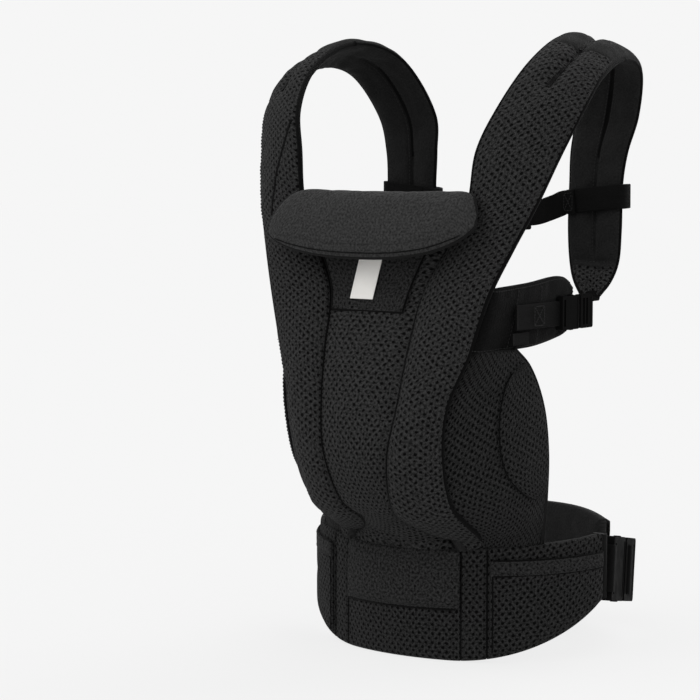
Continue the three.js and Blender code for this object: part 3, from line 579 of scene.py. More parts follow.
class Sheet:
    """A piece of padding or cloth about a middle surface, with a front and a back face.

    The front is the side that shows. turned says that the surface's own normal points the
    other way, so that its columns are taken in reverse."""

    def __init__(self, surface, columns, rows, turned=False):
        self.u, self.v = np.meshgrid(spaced(columns), spaced(rows), indexing="ij")
        if turned:
            self.u = self.u[::-1]
        self.middle = surface(self.u, self.v)
        self.normal = grid_normals(self.middle)
        self.s, self.t = lengths(self.middle, 0), lengths(self.middle, 1)
        self.front = self.back = self.middle

    def rim(self, radius, ends=True, sides=True):
        """0 on the edge, rising as a quarter circle to 1 at radius from it."""
        far = np.full(self.s.shape, 1.0)
        if ends:
            far = np.minimum(far, np.minimum(self.s, self.s[-1:] - self.s))
        if sides:
            far = np.minimum(far, np.minimum(self.t, self.t[:, -1:] - self.t))
        q = np.clip(far / radius, 0, 1)
        return np.sqrt(1 - (1 - q) ** 2)

    def cushion(self, edge, rise, radius):
        """The thickness of padding that is edge at its border and rises within radius of it."""
        return edge + rise * self.rim(radius)

    def creases(self, size, seed):
        """0 to 1, high in creases of about the given size."""
        return np.abs(noise(self.s, self.t, size, seed))

    def fill(self, front, back):
        self.front = self.middle + self.normal * np.broadcast_to(front, self.s.shape)[..., None]
        self.back = self.middle - self.normal * np.broadcast_to(back, self.s.shape)[..., None]
        return self

    def border(self):
        held = np.zeros(self.s.shape, bool)
        held[[0, 1, -2, -1], :] = True
        held[:, [0, 1, -2, -1]] = True
        return held

    def uv(self):
        """Metres along and across the cloth, from the middle of the piece."""
        row, column = self.s.shape[1] // 2, self.s.shape[0] // 2
        across = self.t - self.t[:, row:row + 1]
        along = self.s[:, row:row + 1] - self.s[column, row]
        return np.stack(np.broadcast_arrays(along, across), -1)

    def line(self, u, v, face="front"):
        """Points and normals on a face along a path of u and v."""
        u, v = np.broadcast_arrays(np.asarray(u, float), np.asarray(v, float))
        us, vs = self.u[:, 0], self.v[0]
        if us[0] > us[-1]:
            i = len(us) - 1 - np.interp(u, us[::-1], np.arange(len(us)))
        else:
            i = np.interp(u, us, np.arange(len(us)))
        j = np.interp(v, vs, np.arange(len(vs)))
        grid = self.front if face == "front" else self.back
        normal = grid_normals(grid) * (1 if face == "front" else -1)
        i0 = np.clip(i.astype(int), 0, grid.shape[0] - 2)
        j0 = np.clip(j.astype(int), 0, grid.shape[1] - 2)
        wi, wj = (i - i0)[..., None], (j - j0)[..., None]

        def at(values):
            low = mixed(values[i0, j0], values[i0 + 1, j0], wi)
            high = mixed(values[i0, j0 + 1], values[i0 + 1, j0 + 1], wi)
            return mixed(low, high, wj)

        return at(grid), unit(at(normal))


def make_mesh(name, points, faces, uvs=None, materials=(), zones=None):
    mesh = bpy.data.meshes.new(name)
    mesh.from_pydata(np.asarray(points).tolist(), [], faces)
    if uvs is not None:
        layer = mesh.uv_layers.new(name="cloth")
        corners = np.zeros(len(mesh.loops), np.int32)
        mesh.loops.foreach_get("vertex_index", corners)
        layer.data.foreach_set("uv", np.asarray(uvs, np.float32)[corners].ravel())
    for material in materials:
        mesh.materials.append(material)
    if zones is not None:
        mesh.polygons.foreach_set("material_index", np.asarray(zones, np.int32))
    mesh.polygons.foreach_set("use_smooth", [True] * len(mesh.polygons))
    mesh.update()
    return add_object(name, mesh)


def quads(index):
    corners = [index[:-1, :-1], index[1:, :-1], index[1:, 1:], index[:-1, 1:]]
    return np.stack(corners, -1).reshape(-1, 4)


def closed_piece(name, front, back, uv, materials, zone=None, rounded=True):
    """A closed body from its two faces, joined round the edge. zone gives each front and
    back cell its material, and rounded smooths the body once."""
    m, n = front.shape[:2]
    a = np.arange(m * n).reshape(m, n)
    b = a + m * n
    rim = [
        np.stack([a[1:, 0], a[:-1, 0], b[:-1, 0], b[1:, 0]], -1),
        np.stack([a[:-1, -1], a[1:, -1], b[1:, -1], b[:-1, -1]], -1),
        np.stack([a[0, :-1], a[0, 1:], b[0, 1:], b[0, :-1]], -1),
        np.stack([a[-1, 1:], a[-1, :-1], b[-1, :-1], b[-1, 1:]], -1),
    ]
    front_faces, back_faces = quads(a), quads(b)[:, ::-1]
    faces = np.concatenate([front_faces, back_faces, *rim])
    zones = np.zeros(len(faces), int)
    cells = len(front_faces)
    if zone is not None:
        zones[:cells] = zone[0][:-1, :-1].ravel()
        zones[cells:2 * cells] = zone[1][:-1, :-1].ravel()
    elif len(materials) > 1:
        zones[cells:2 * cells] = 1
    points = np.concatenate([front.reshape(-1, 3), back.reshape(-1, 3)])
    uvs = np.concatenate([uv.reshape(-1, 2)] * 2)
    piece = make_mesh(name, points, faces.tolist(), uvs, materials, zones)
    if rounded:
        piece.modifiers.new("subdivision", "SUBSURF").render_levels = 1
    return piece


def other_side(grid):
    """A grid's mirror image, with its columns reversed so that its faces still point out."""
    return (grid * MIRROR)[::-1] if grid.shape[-1] == 3 else grid[::-1]


def settle(piece, body, slot, nodes=(), padding=None):
    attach(piece, body)
    if nodes:
        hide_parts(*nodes)
    return piece


def pad(name, sheet, materials, body, slot, nodes=(), padding=0.6, zone=None):
    piece = closed_piece(name, sheet.front, sheet.back, sheet.uv(), materials, zone)
    return settle(piece, body, slot, nodes, padding)


def pad_pair(name, sheet, materials, slot, nodes=(), padding=0.6, zone=None):
    """The right-hand piece and its mirror image on the left. nodes are names without a side."""
    right, left = ([node + side for node in nodes] for side in ("_right", "_left"))
    pad(name + "_right", sheet, materials, "root", slot, right, padding, zone)
    front, back, uv = other_side(sheet.front), other_side(sheet.back), other_side(sheet.uv())
    turned = None if zone is None else [np.roll(z[::-1], -1, axis=0) for z in zone]
    piece = closed_piece(name + "_left", front, back, uv, materials, turned)
    settle(piece, "root", slot, left, padding)


# Cloth simulation ---------------------------------------------------------------------------
SEWN = []


CLOTH_STEPS, CLOTH_PRESSURE = 20, 4.0


def sew(sheet, swell, limit, held=None, face="front"):
    """Lets a face of a sheet fill out as cloth: swell is the spare cloth as a share of its
    size, limit how far it may rise, and held the points sewn down besides its edge."""
    fixed = sheet.border() if held is None else sheet.border() | held
    SEWN.append((sheet, face, fixed, swell, limit))


def simulate():
    """Runs every sewn face as cloth at the same time and puts the result in its sheet."""
    cloths = []
    for count, (sheet, face, fixed, swell, _) in enumerate(SEWN):
        grid = sheet.front if face == "front" else sheet.back
        normal = sheet.normal if face == "front" else -sheet.normal
        index = np.arange(fixed.size).reshape(fixed.shape)
        faces = quads(index) if face == "front" else quads(index)[:, ::-1]
        start = grid + normal * (sheet.creases(0.014, count) * 0.0003)[..., None]
        start[fixed] = grid[fixed]
        piece = make_mesh(f"cloth_{count}", start.reshape(-1, 3), faces.tolist())
        group = piece.vertex_groups.new(name="held")
        group.add(np.nonzero(fixed.ravel())[0].tolist(), 1.0, "REPLACE")
        cloth = piece.modifiers.new("cloth", "CLOTH")
        settings = cloth.settings
        settings.quality = 5
        settings.bending_stiffness = 0.4
        settings.vertex_group_mass = "held"
        settings.shrink_min = -swell
        settings.use_pressure = True
        settings.uniform_pressure_force = CLOTH_PRESSURE
        settings.effector_weights.gravity = 0
        cloth.collision_settings.use_collision = False
        cloths.append(piece)
    scene = bpy.context.scene
    for step in range(1, CLOTH_STEPS + 1):
        scene.frame_set(step)
    graph = bpy.context.evaluated_depsgraph_get()
    for piece, (sheet, face, fixed, _, limit) in zip(cloths, SEWN):
        found = np.zeros(fixed.size * 3)
        piece.evaluated_get(graph).data.vertices.foreach_get("co", found)
        grid = sheet.front if face == "front" else sheet.back
        move = found.reshape(*fixed.shape, 3) - grid
        size = np.maximum(np.linalg.norm(move, axis=-1, keepdims=True), 1e-9)
        grid = grid + move / size * limit * np.tanh(size / limit)
        if face == "front":
            sheet.front = grid
        else:
            sheet.back = grid
        bpy.data.objects.remove(piece)
    scene.frame_set(1)


# Tapes, cords, stitches and painted seam shade ------------------------------------------------
def round_section(width, height, count=10):
    """A closed oval section, as (across, up) pairs."""
    turn = np.arange(count) * 2 * np.pi / count
    return np.stack([width / 2 * np.cos(turn), height / 2 * np.sin(turn)], -1)


def sweep_pair(name, centres, across, section, material, slot="webbing"):
    """A sweep on the right and its mirror image on the left."""
    for side, mark in SIDES:
        piece = sweep(f"{name}_{side}", centres * mark, across * mark, section, material)
        settle(piece, "root", slot)


def tape_section(width, height):
    """A flat section with softly rounded borders."""
    w, h = width / 2, height / 2
    edge = [(w, 0.0), (w - h * 0.35, h * 0.75), (w - h, h), (w * 0.5, h), (0, h)]
    half = edge + [(-a, b) for a, b in edge[-2::-1]]
    return np.array(half + [(a, -b) for a, b in half[-2:0:-1]])


def sweep(name, centres, across, section, material, loop=False):
    """A closed solid: the section carried along a line of centres, its width along across."""
    centres = np.asarray(centres, float)
    if loop:
        run = np.roll(centres, -1, 0) - np.roll(centres, 1, 0)
    else:
        run = np.gradient(centres, axis=0)
    run = unit(run)
    across = np.broadcast_to(np.asarray(across, float), centres.shape)
    across = unit(across - run * np.sum(across * run, -1, keepdims=True))
    up = np.cross(run, across)
    a, b = section[:, 0][None, :, None], section[:, 1][None, :, None]
    points = centres[:, None] + across[:, None] * a + up[:, None] * b
    count, corners = len(centres), len(section)
    index = np.arange(count * corners).reshape(count, corners)
    if loop:
        index = np.vstack([index, index[:1]])
    index = np.hstack([index, index[:, :1]])
    faces = quads(index)[:, ::-1].tolist()
    if not loop:
        faces.append(index[0, :-1].tolist())
        faces.append(index[-1, -2::-1].tolist())
    steps = np.linalg.norm(np.diff(centres, axis=0), axis=-1)
    along = np.concatenate([[0], np.cumsum(steps)])
    around = np.broadcast_to(section[:, 0], (count, corners))
    uvs = np.stack([np.repeat(along, corners), around.ravel()], -1)
    return make_mesh(name, points.reshape(-1, 3), faces, uvs, [material])


def ribbon(name, centres, across, width, body, nodes=(), material=None, thickness=WEB, loop=False):
    section = tape_section(width, thickness)
    piece = sweep(name, centres, across, section, material or WEBBING, loop)
    return settle(piece, body, "webbing", nodes)


STITCHES = {}
THREAD_RADIUS, THREAD_LIFT, THREAD_SIDES = 0.00042, 0.0001, 6
SPINDLE = ((0.0, 0.5, -0.8), (0.22, 1.0, 0.2), (0.78, 1.0, 0.2), (1.0, 0.5, -0.8))   # place, size, rise


def stitch(line, body="root", both=False, length=0.0027, gap=0.0012):
    """Records a run of stitches along a line of points and normals on a surface."""
    points, normals = line
    steps = np.linalg.norm(np.diff(points, axis=0), axis=-1)
    run = np.concatenate([[0], np.cumsum(steps)])
    starts = np.arange(gap, run[-1] - length, length + gap)
    ends = starts + length

    def at(distance, values):
        return np.stack([np.interp(distance, run, values[:, k]) for k in range(3)], -1)

    middle = unit(at((starts + ends) / 2, normals))
    low, high = (at(place, points) + middle * THREAD_LIFT for place in (starts, ends))
    rows = STITCHES.setdefault(body, [])
    rows.append((low, high, middle))
    if both:
        rows.append((low * MIRROR, high * MIRROR, middle * MIRROR))


def make_stitches():
    """One mesh of thread for each body: every stitch is a small six-sided spindle."""
    thick, sides = THREAD_RADIUS, THREAD_SIDES
    turn = np.arange(sides) * 2 * np.pi / sides
    for body, rows in STITCHES.items():
        low, high, normal = (np.concatenate([row[k] for row in rows]) for k in range(3))
        run = unit(high - low)
        side = unit(np.cross(run, normal))
        up = np.cross(side, run)
        around = side[:, None] * np.cos(turn)[:, None] + up[:, None] * np.sin(turn)[:, None]
        length = (high - low)[:, None]
        rings = [low[:, None] + length * at + around * thick * size + up[:, None] * thick * rise
                 for at, size, rise in SPINDLE]
        points = np.stack(rings, 1).reshape(-1, 3)
        index = np.arange(len(rings) * sides).reshape(len(rings), sides)
        index = np.hstack([index, index[:, :1]])
        one = quads(index)[:, ::-1]
        caps = [index[0, :-1], index[-1, -2::-1]]
        offsets = np.arange(len(low)) * len(rings) * sides
        faces = (one[None] + offsets[:, None, None]).reshape(-1, 4).tolist()
        for cap in caps:
            faces += (cap[None] + offsets[:, None]).tolist()
        piece = make_mesh("stitching_" + body, points, faces, None, [THREAD])
        settle(piece, body, "smooth_fabric")


SEAM_SHADE_HEIGHT = 0.0007


def seam(name, line, body="root", width=0.0015, both=False, lift=0.0002):
    """Painted shade: a narrow near-black tape in a seam, crease or fold, along a line of points and
    normals.
    """
    points, normals = line
    points = points + normals * lift
    across = np.cross(np.gradient(points, axis=0), normals)
    section = tape_section(width, SEAM_SHADE_HEIGHT)
    if both:
        sweep_pair(name, points, across, section, SEAM, "smooth_fabric")
    else:
        settle(sweep(name, points, across, section, SEAM), body, "smooth_fabric")


# Waist belt ---------------------------------------------------------------------------------
def belt_sheet(start, end, columns, rows, face, low=belt_bottom, high=belt_top, turned=False):
    """A sheet of the belt between two angles, its middle surface at face from the ring."""
    def surface(u, v):
        phi = mixed(start, end, u)
        return ring(phi, face, mixed(low(phi), high(phi), v))
    return Sheet(surface, columns, rows, turned)


def cover_sheet(start, end, columns, creases):
    sheet = belt_sheet(start, end, columns, 32, -COVER / 2)
    folds = sheet.creases((0.045, 0.0055), 3) * smooth(sheet.v, 0.62, 0.92)
    height = sheet.cushion(0.0007, 0.0019, 0.0035) - creases * folds
    return sheet.fill(height, COVER / 2 - 0.0006)


front_cover = cover_sheet(-SEAM_FRONT, SEAM_FRONT, 48, 0.0034)
strip_cover = cover_sheet(SEAM_FRONT, SEAM_SIDE, 8, 0.0016)
side_cover = cover_sheet(SEAM_SIDE, BELT_END, 44, 0.0016)
sew(front_cover, 0.012, 0.0022)
sew(strip_cover, 0.008, 0.0014)
sew(side_cover, 0.012, 0.0020)

FOLD_FROM = 0.45                     # share of the belt's height where the front's fold begins


def fold_low(phi):
    return mixed(belt_bottom(phi), belt_top(phi), FOLD_FROM + 0.0004 * phi)


front_fold = belt_sheet(-SEAM_FRONT + 0.5, SEAM_FRONT - 0.3, 48, 20, 0.0012,
                        fold_low, lambda phi: belt_top(phi) - 0.002)
fold_creases = front_fold.creases((0.050, 0.005), 7) * smooth(front_fold.v, 0.35, 0.9)
front_fold.fill(front_fold.cushion(0.0004, 0.0012, 0.0016) - 0.0026 * fold_creases, 0.0008)
sew(front_fold, 0.014, 0.0026, held=front_fold.v < 0.09)

belt_inside = belt_sheet(-BELT_END, BELT_END, 96, 22, -COVER - 0.0005 - FOAM / 2, turned=True)
quilt = np.abs(np.mod(np.degrees(np.arcsin(np.clip(
    belt_inside.middle[..., 0] / (RING_X - 0.010), -1, 1))) + 9, 18) - 9)
belt_inside.fill(belt_inside.cushion(0.0010, 0.0042, 0.007) - 0.0024 * ridge(quilt, 0.7), FOAM / 2 - 0.0005)
sew(belt_inside, 0.012, 0.0022, held=quilt < 0.7)


def pocket_low(phi):
    return belt_bottom(phi) + 0.005


def pocket_high(phi):
    return belt_top(phi) - mixed(0.013, 0.017, (phi - 35) / 45)


pocket = belt_sheet(SEAM_SIDE + 1.2, 80.5, 34, 18, 0.0012, pocket_low, pocket_high)
pocket.fill(pocket.cushion(0.0004, 0.0012, 0.0018), 0.0008)
sew(pocket, 0.012, 0.0024)
pocket_hem = belt_sheet(SEAM_SIDE + 1.5, 80.0, 34, 5, 0.0032,
                        lambda phi: pocket_high(phi) - 0.0155, lambda phi: pocket_high(phi) + 0.0008)
pocket_hem.fill(pocket_hem.cushion(0.0003, 0.0009, 0.0014), 0.0016)
sew(pocket_hem, 0.006, 0.0010)


def make_belt():
    pad("belt_front_cover", front_cover, [MESH_DEEP], "root", "mesh_fabric", ["belt_front_panel"], 0.5)
    pad("belt_front_fold", front_fold, [MESH_FINE], "root", "mesh_fabric", padding=0.2)
    pad("belt_inside", belt_inside, [LINING], "root", "lining_fabric", ["belt_lining"], 0.6)
    pad_pair("belt_strip_cover", strip_cover, [MESH_DEEP], "mesh_fabric", ["belt_strip"], 0.5)
    pad_pair("belt_side_cover", side_cover, [MESH_DEEP], "mesh_fabric", ["belt_side_panel"], 0.5)
    pad_pair("belt_pocket_bag", pocket, [MESH_DEEP], "mesh_fabric", ["belt_pocket"], 0.3)
    pad_pair("belt_pocket_hem", pocket_hem, [MESH_FINE], "mesh_fabric", padding=0.2)
    full = np.linspace(0.02, 0.98, 60)
    # Painted shade: near-black tapes under the front fold's lower edge, along the pocket's hem and top
    # edge, down the pocket's side, and in the seams beside the strip and the side cover.
    seam("belt_fold_edge_shade", front_fold.line(full, 0.012), width=0.0020, lift=0.0004)
    for name, line, width in (("belt_hem_seam_shade", pocket_hem.line(full, 0.02), 0.0016),
                              ("belt_pocket_top_shade", pocket_hem.line(full, 0.985), 0.0016),
                              ("belt_pocket_side_shade", pocket.line(0.02, full), 0.0014),
                              ("belt_strip_seam_shade", strip_cover.line(0.02, full), 0.0020),
                              ("belt_side_seam_shade", side_cover.line(0.004, full), 0.0020)):
        seam(name, line, both=True, width=width, lift=0.0003)
    for sheet, at in ((front_cover, 0.987), (strip_cover, 0.12), (strip_cover, 0.86), (side_cover, 0.022)):
        stitch(sheet.line(at, full), both=True)
    for across in (0.045, 0.075):
        stitch(front_fold.line(full, across))
    for across in (0.10, 0.90):
        stitch(pocket_hem.line(full, across), both=True)
    for shift in (0, 0.004, 0.008, 0.012):
        at = np.full(12, 0.16 + shift)
        stitch(pocket_hem.line(at, np.linspace(0.25, 0.95, 12)), both=True, length=0.0018, gap=0.0001)
    z = mixed(belt_bottom(BELT_END), belt_top(BELT_END), np.linspace(0, 1, 26))
    centres = ring(np.full(26, BELT_END + 0.15), -0.0062, z)
    normal = ring(BELT_END, 0.01, 0.1) - ring(BELT_END, 0.0, 0.1)
    sweep_pair("belt_end_tape", centres, normal, tape_section(0.0165, 0.0075), TAPE)


# Front panel --------------------------------------------------------------------------------
front_panel = Sheet(rooted(lambda u, v: panel(mixed(-0.985, 0.985, u), mixed(0, 0.99, v)), 0.010), 36, 80)
panel_creases = front_panel.creases((0.060, 0.006), 13) * (1 - smooth(front_panel.v, 0.03, 0.16))
strip_line = ridge(np.abs(front_panel.u - 0.5) - 0.405, 0.010) * smooth(front_panel.v, 0.10, 0.2)
front_panel.fill(front_panel.cushion(0.0008, 0.0026, 0.006) - 0.0042 * panel_creases - 0.0008 * strip_line,
                 0.0024)
sew(front_panel, 0.012, 0.0030, held=strip_line > 0.7)


HOOD_LEFT, HOOD_LOW, HOOD_HIGH = -0.93, 0.738, 0.93      # the pocket's edges on the panel
HOOD_OUT = np.array([0, -0.0046, 0])                     # how far it stands out from it
LABEL_SIZE = (0.028, 0.043)                              # width and height
LABEL_LEFT, LABEL_LEAN = -0.0265, 0.0065                 # its lower left corner, and its slant
LABEL_LOW, LABEL_HIGH = 0.13, 0.65                       # shares of the pocket's height


def hood_right(v):
    """The pocket's slanting right edge."""
    return 0.74 + 0.04 * v


def hood_surface(u, v):
    return panel(mixed(HOOD_LEFT, hood_right(v), u), mixed(HOOD_LOW, HOOD_HIGH, v)) + HOOD_OUT


hood_pocket = Sheet(hood_surface, 32, 14)
hood_pocket.fill(hood_pocket.cushion(0.0005, 0.0012, 0.0022), 0.0012)
sew(hood_pocket, 0.014, 0.0030)


def label_corner(x, up):
    """A point on the hood's pocket, from its x and its share of the pocket's height."""
    half = panel(1.0, mixed(HOOD_LOW, HOOD_HIGH, up))[..., 0]
    return hood_surface((x / half - HOOD_LEFT) / (hood_right(up) - HOOD_LEFT), up)


def label_surface(u, v):
    """The label is a smooth patch over the pocket's cloth, between four corners on it."""
    def edge(left, up):
        return mixed(label_corner(left, up), label_corner(left + LABEL_SIZE[0], up), u[..., None])

    clear = 0.0036 + 0.0016 * (1 - (2 * u - 1) ** 2)
    flat = mixed(edge(LABEL_LEFT, LABEL_LOW), edge(LABEL_LEFT + LABEL_LEAN, LABEL_HIGH), v[..., None])
    return flat + np.array([0, -1.0, 0.1]) * clear[..., None]


def lining_surface(u, v):
    """The lining behind the panel's middle and, on each side of it, behind the bands."""
    half, reach = 0.62, 0.8              # the middle's share, and how much of a band is lined
    side, station = mixed(-1, 1, u), mixed(0.02, 0.995, v) * BAND_TOP

    def middle(side, station):
        across = np.abs(side)
        flat = panel(side / half, station / BAND_TOP)
        band = strap(station, np.clip((across - half) / (1 - half), 0, 1) * reach)
        band = band * np.stack([np.sign(side + 1e-9), 1 + 0 * side, 1 + 0 * side], -1)
        return np.where((across < half)[..., None], flat, band)

    step = 0.02
    along = middle(side, station + step) - middle(side, station - step)
    wide = middle(np.minimum(side + step, 1), station) - middle(np.maximum(side - step, -1), station)
    return middle(side, station) + unit(np.cross(along, wide)) * 0.0115


panel_inside = Sheet(rooted(lining_surface, 0.020, 0.03), 44, 74, turned=True)
lining_seam = np.abs(np.abs(panel_inside.u - 0.5) - 0.30)
panel_inside.fill(panel_inside.cushion(0.0007, 0.0022, 0.005) - 0.0012 * ridge(lining_seam, 0.008), 0.0015)
sew(panel_inside, 0.012, 0.0028, held=lining_seam < 0.012)


def make_panel():
    label = Sheet(label_surface, 12, 12)
    label.fill(label.cushion(0.0002, 0.0003, 0.0008), 0.0003)
    pad("panel_front", front_panel, [MESH, LINING], "root", "mesh_fabric", ["front_panel"], 0.5)
    pad("panel_inside", panel_inside, [LINING], "root", "lining_fabric", ["panel_lining"], 0.4)
    pad("hood_pocket_cloth", hood_pocket, [MESH_FINE], "root", "smooth_fabric", ["hood_pocket"], 0.2)
    cloth = pad("label_cloth", label, [LABEL], "root", "label", ["woven_label"], None)
    run = np.linspace(0.02, 0.98, 60)
    for across in (0.012, 0.988):
        stitch(front_panel.line(across, run * 0.8))
    stitch(front_panel.line(0.905, 0.15 + run * 0.6))
    stitch(hood_pocket.line(run, 0.06))
    for across in (0.02, 0.98):
        stitch(hood_pocket.line(across, run))
    # Painted shade: near-black tapes along the hood pocket's hem and down its two sides.
    hem = hood_pocket.line(np.linspace(0.01, 0.99, 60), 0.015)
    seam("hood_pocket_hem_shade", hem, width=0.0022, lift=0.0006)
    for side, across in (("a", 0.985), ("b", 0.015)):
        seam("hood_pocket_side_" + side, hood_pocket.line(across, run), width=0.0020, lift=0.0004)
    stitch(label.line(np.linspace(0.05, 0.95, 12), 0.95), length=0.0016, gap=0.0006)
    top = np.linspace(-1, 1, 40)
    centres = panel(top, np.full(40, 0.985)) + np.array([0, 0.0065, 0.0006])
    roll = sweep("panel_top_roll", centres, UP, round_section(0.008, 0.0125, 14), SMOOTH)
    settle(roll, "root", "smooth_fabric")


# Seat wings ---------------------------------------------------------------------------------
seat_wing = Sheet(rooted(lambda u, v: wing(mixed(-0.10, 1, u), v), 0.010), 24, 52)
wing_creases = seat_wing.creases((0.030, 0.007), 17) * (1 - smooth(seat_wing.v, 0.03, 0.14))
seat_wing.fill(seat_wing.cushion(0.0010, 0.0027, 0.006) - 0.0016 * wing_creases, 0.0030)
sew(seat_wing, 0.014, 0.0035)


def thigh_surface(u, v):
    """The D-shaped pad on the wing's outer face, its straight side along the leg opening."""
    bow = np.sqrt(np.maximum(0, 1 - (2 * v - 1) ** 2))
    across, up = mixed(0.97 - 0.08 - 0.42 * bow, 0.97, u), mixed(0.24, 0.86, v)
    step = 0.01
    along = wing(across, up + step) - wing(across, up - step)
    wide = wing(across + step, up) - wing(across - step, up)
    return wing(across, up) + unit(np.cross(wide, along)) * 0.0058


thigh_pad = Sheet(thigh_surface, 16, 34)
thigh_pad.fill(thigh_pad.cushion(0.0003, 0.0026, 0.007), 0.0022)
sew(thigh_pad, 0.014, 0.0030)


def make_wings():
    pad_pair("seat_wing_cloth", seat_wing, [MESH_DEEP, LINING], "mesh_fabric", ["seat_wing"], 0.5)
    pad_pair("thigh_pad_cloth", thigh_pad, [MESH_DEEP], "mesh_fabric", ["thigh_pad"], 0.6)
    run = np.linspace(0.03, 0.97, 70)
    stitch(thigh_pad.line(0.10, run), both=True)
    # Painted shade: a near-black tape in the seam round the thigh pad.
    seam("thigh_pad_seam_shade", thigh_pad.line(0.012, run), both=True)
    stitch(seat_wing.line(0.965, run), both=True)
    up = np.linspace(0.0, 1.0, 60)
    edge = rooted(wing, 0.010)
    centres = edge(np.ones(60), up)
    across = centres - edge(np.full(60, 0.97), up)
    sweep_pair("wing_edge_tape", centres, across, tape_section(0.0075, 0.0056), TAPE)


# Head support -------------------------------------------------------------------------------
head_flap = Sheet(lambda u, v: flap(2 * u - 1, v), 64, 22, turned=True)
head_flap.fill(head_flap.cushion(0.0010, 0.0044, 0.010), head_flap.cushion(0.0008, 0.0042, 0.009))
sew(head_flap, 0.006, 0.0030)
sew(head_flap, 0.006, 0.0020, face="back")


HINGE_LEFT, HINGE_RIGHT = -0.0765, 0.0955
hinge_profile = Curve([
    (-0.1625, 0.4560, 0), (-0.1665, 0.4610, 0), (-0.1710, 0.4655, 0), (-0.1760, 0.4690, 0),
])


def hinge_surface(u, v):
    """The cloth that joins the head support to the panel's top and folds between them."""
    spot = hinge_profile(v)
    return xyz(mixed(HINGE_LEFT, HINGE_RIGHT, u), spot[..., 0], spot[..., 1])


def make_head_support():
    pad("head_flap", head_flap, [SMOOTH, LINING], "head_support", "smooth_fabric", ["head_support"], 0.7)
    side = np.sin(np.linspace(-np.pi / 2, np.pi / 2, 90))
    left = np.linspace(-0.66, -1, 16)[:-1]
    right = np.linspace(1, 0.78, 12)[1:]
    line_side = np.concatenate([left, side, right])
    line_down = np.concatenate([0 * left, np.ones(90), 0 * right])
    centres = flap(line_side, line_down)
    normal = np.array([0, -1.0, 0.25])
    piping = sweep("head_flap_piping", centres, normal, round_section(0.0036, 0.0036), TAPE)
    settle(piping, "head_support", "smooth_fabric")
    stitch(head_flap.line(np.linspace(0.06, 0.94, 120), 0.86), "head_support")
    # Painted shade: a near-black tape just inside the flap's lower edge, along its piping.
    low = head_flap.line(np.linspace(0.05, 0.95, 90), 0.955)
    seam("head_flap_edge_shade", low, "head_support", width=0.0012, lift=0.0003)
    fold = Sheet(hinge_surface, 60, 16, turned=True).fill(0.0012, 0.0012)
    piece = closed_piece("head_flap_fold", fold.front, fold.back, fold.uv(), [SMOOTH], rounded=False)
    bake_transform(piece)


# Shoulder straps ----------------------------------------------------------------------------
def strap_sheet(start, end, columns, root=0.0):
    """A length of the right strap between two stations, its lower end let down by root."""
    def surface(u, v):
        sunk = root * (1 - smooth(u, 0, 0.03))[..., None]
        return strap(mixed(start, end, u), mixed(0.004, 0.996, v)) - UP * sunk
    return Sheet(surface, columns, 16, turned=True)


# How far across the shoulder its lengthwise crease lies, by station.
fold_place = spline([(10.6, 0.45), (11.6, 0.47), (12.3, 0.50), (13.0, 0.42), (14.0, 0.30)])


def fold_depth(sheet, station):
    """1 in the middle of the shoulder's crease and 0 away from it."""
    crease = ridge(sheet.v - fold_place(station), 0.075)
    return crease * smooth(station, 11.0, 11.9) * (1 - smooth(station, 13.3, 14.2))


band = strap_sheet(0, SHOULDER, 150, 0.008)
band_at = mixed(0, SHOULDER, band.u)
band_fill = np.clip((band_at - 0.7) / 2.2, 0, 1) * band.rim(0.018, ends=False)
band_fold = fold_depth(band, band_at)
band_gathers = band.creases((0.007, 0.030), 23) * smooth(band_at, 10.2, 11.6)
band_front = 0.0012 + 0.0058 * band_fill - 0.0078 * band_fold - 0.0030 * band_gathers * band_fill
band_seam = ridge(band.v - 0.5, 0.035) * smooth(band_at, 9.2, 10.2)
band_back = 0.0012 + 0.0056 * band_fill - 0.0045 * band_seam * band_fill
band.fill(band_front, band_back)
sew(band, 0.010, 0.0030, held=band_fold > 0.8)
sew(band, 0.010, 0.0024, held=band_seam > 0.6, face="back")

BACK_START, BACK_TIP, BACK_END = 12.4, 19.3, STRAP_LAST - 0.02
BACK_ROWS = (13.3, 19.0, BACK_TIP + 0.1)     # stations of the rows of stitches across the strap


def back_share(station):
    """A station as a share of the back strap's length."""
    return (station - BACK_START) / (BACK_END - BACK_START)


back_strap = strap_sheet(BACK_START, BACK_END, 84)
back_at = mixed(BACK_START, BACK_END, back_strap.u)
back_fill = back_strap.rim(0.017, ends=False) * back_strap.rim(0.010, sides=False)
back_seam = (ridge(back_strap.v - 0.5, 0.035)
             * smooth(back_at, 13.2, 13.8) * (1 - smooth(back_at, 18.6, 19.0)))
back_rows = sum(ridge(back_at - at, 0.10) for at in BACK_ROWS)
back_height = 0.0012 + 0.0056 * back_fill * np.clip((STRAP_LAST + 0.6 - back_at) / 1.6, 0.2, 1)
back_fold = fold_depth(back_strap, back_at)
back_strap.fill(back_height - 0.0012 * back_rows * back_fill - 0.0078 * back_fold,
                back_height - (0.0052 * back_seam + 0.0030 * np.minimum(back_rows, 1)) * back_fill)
sew(back_strap, 0.010, 0.0020, held=(back_rows > 0.7) | (back_fold > 0.8))
sew(back_strap, 0.014, 0.0020, held=(back_rows > 0.7) | (back_seam > 0.6), face="back")


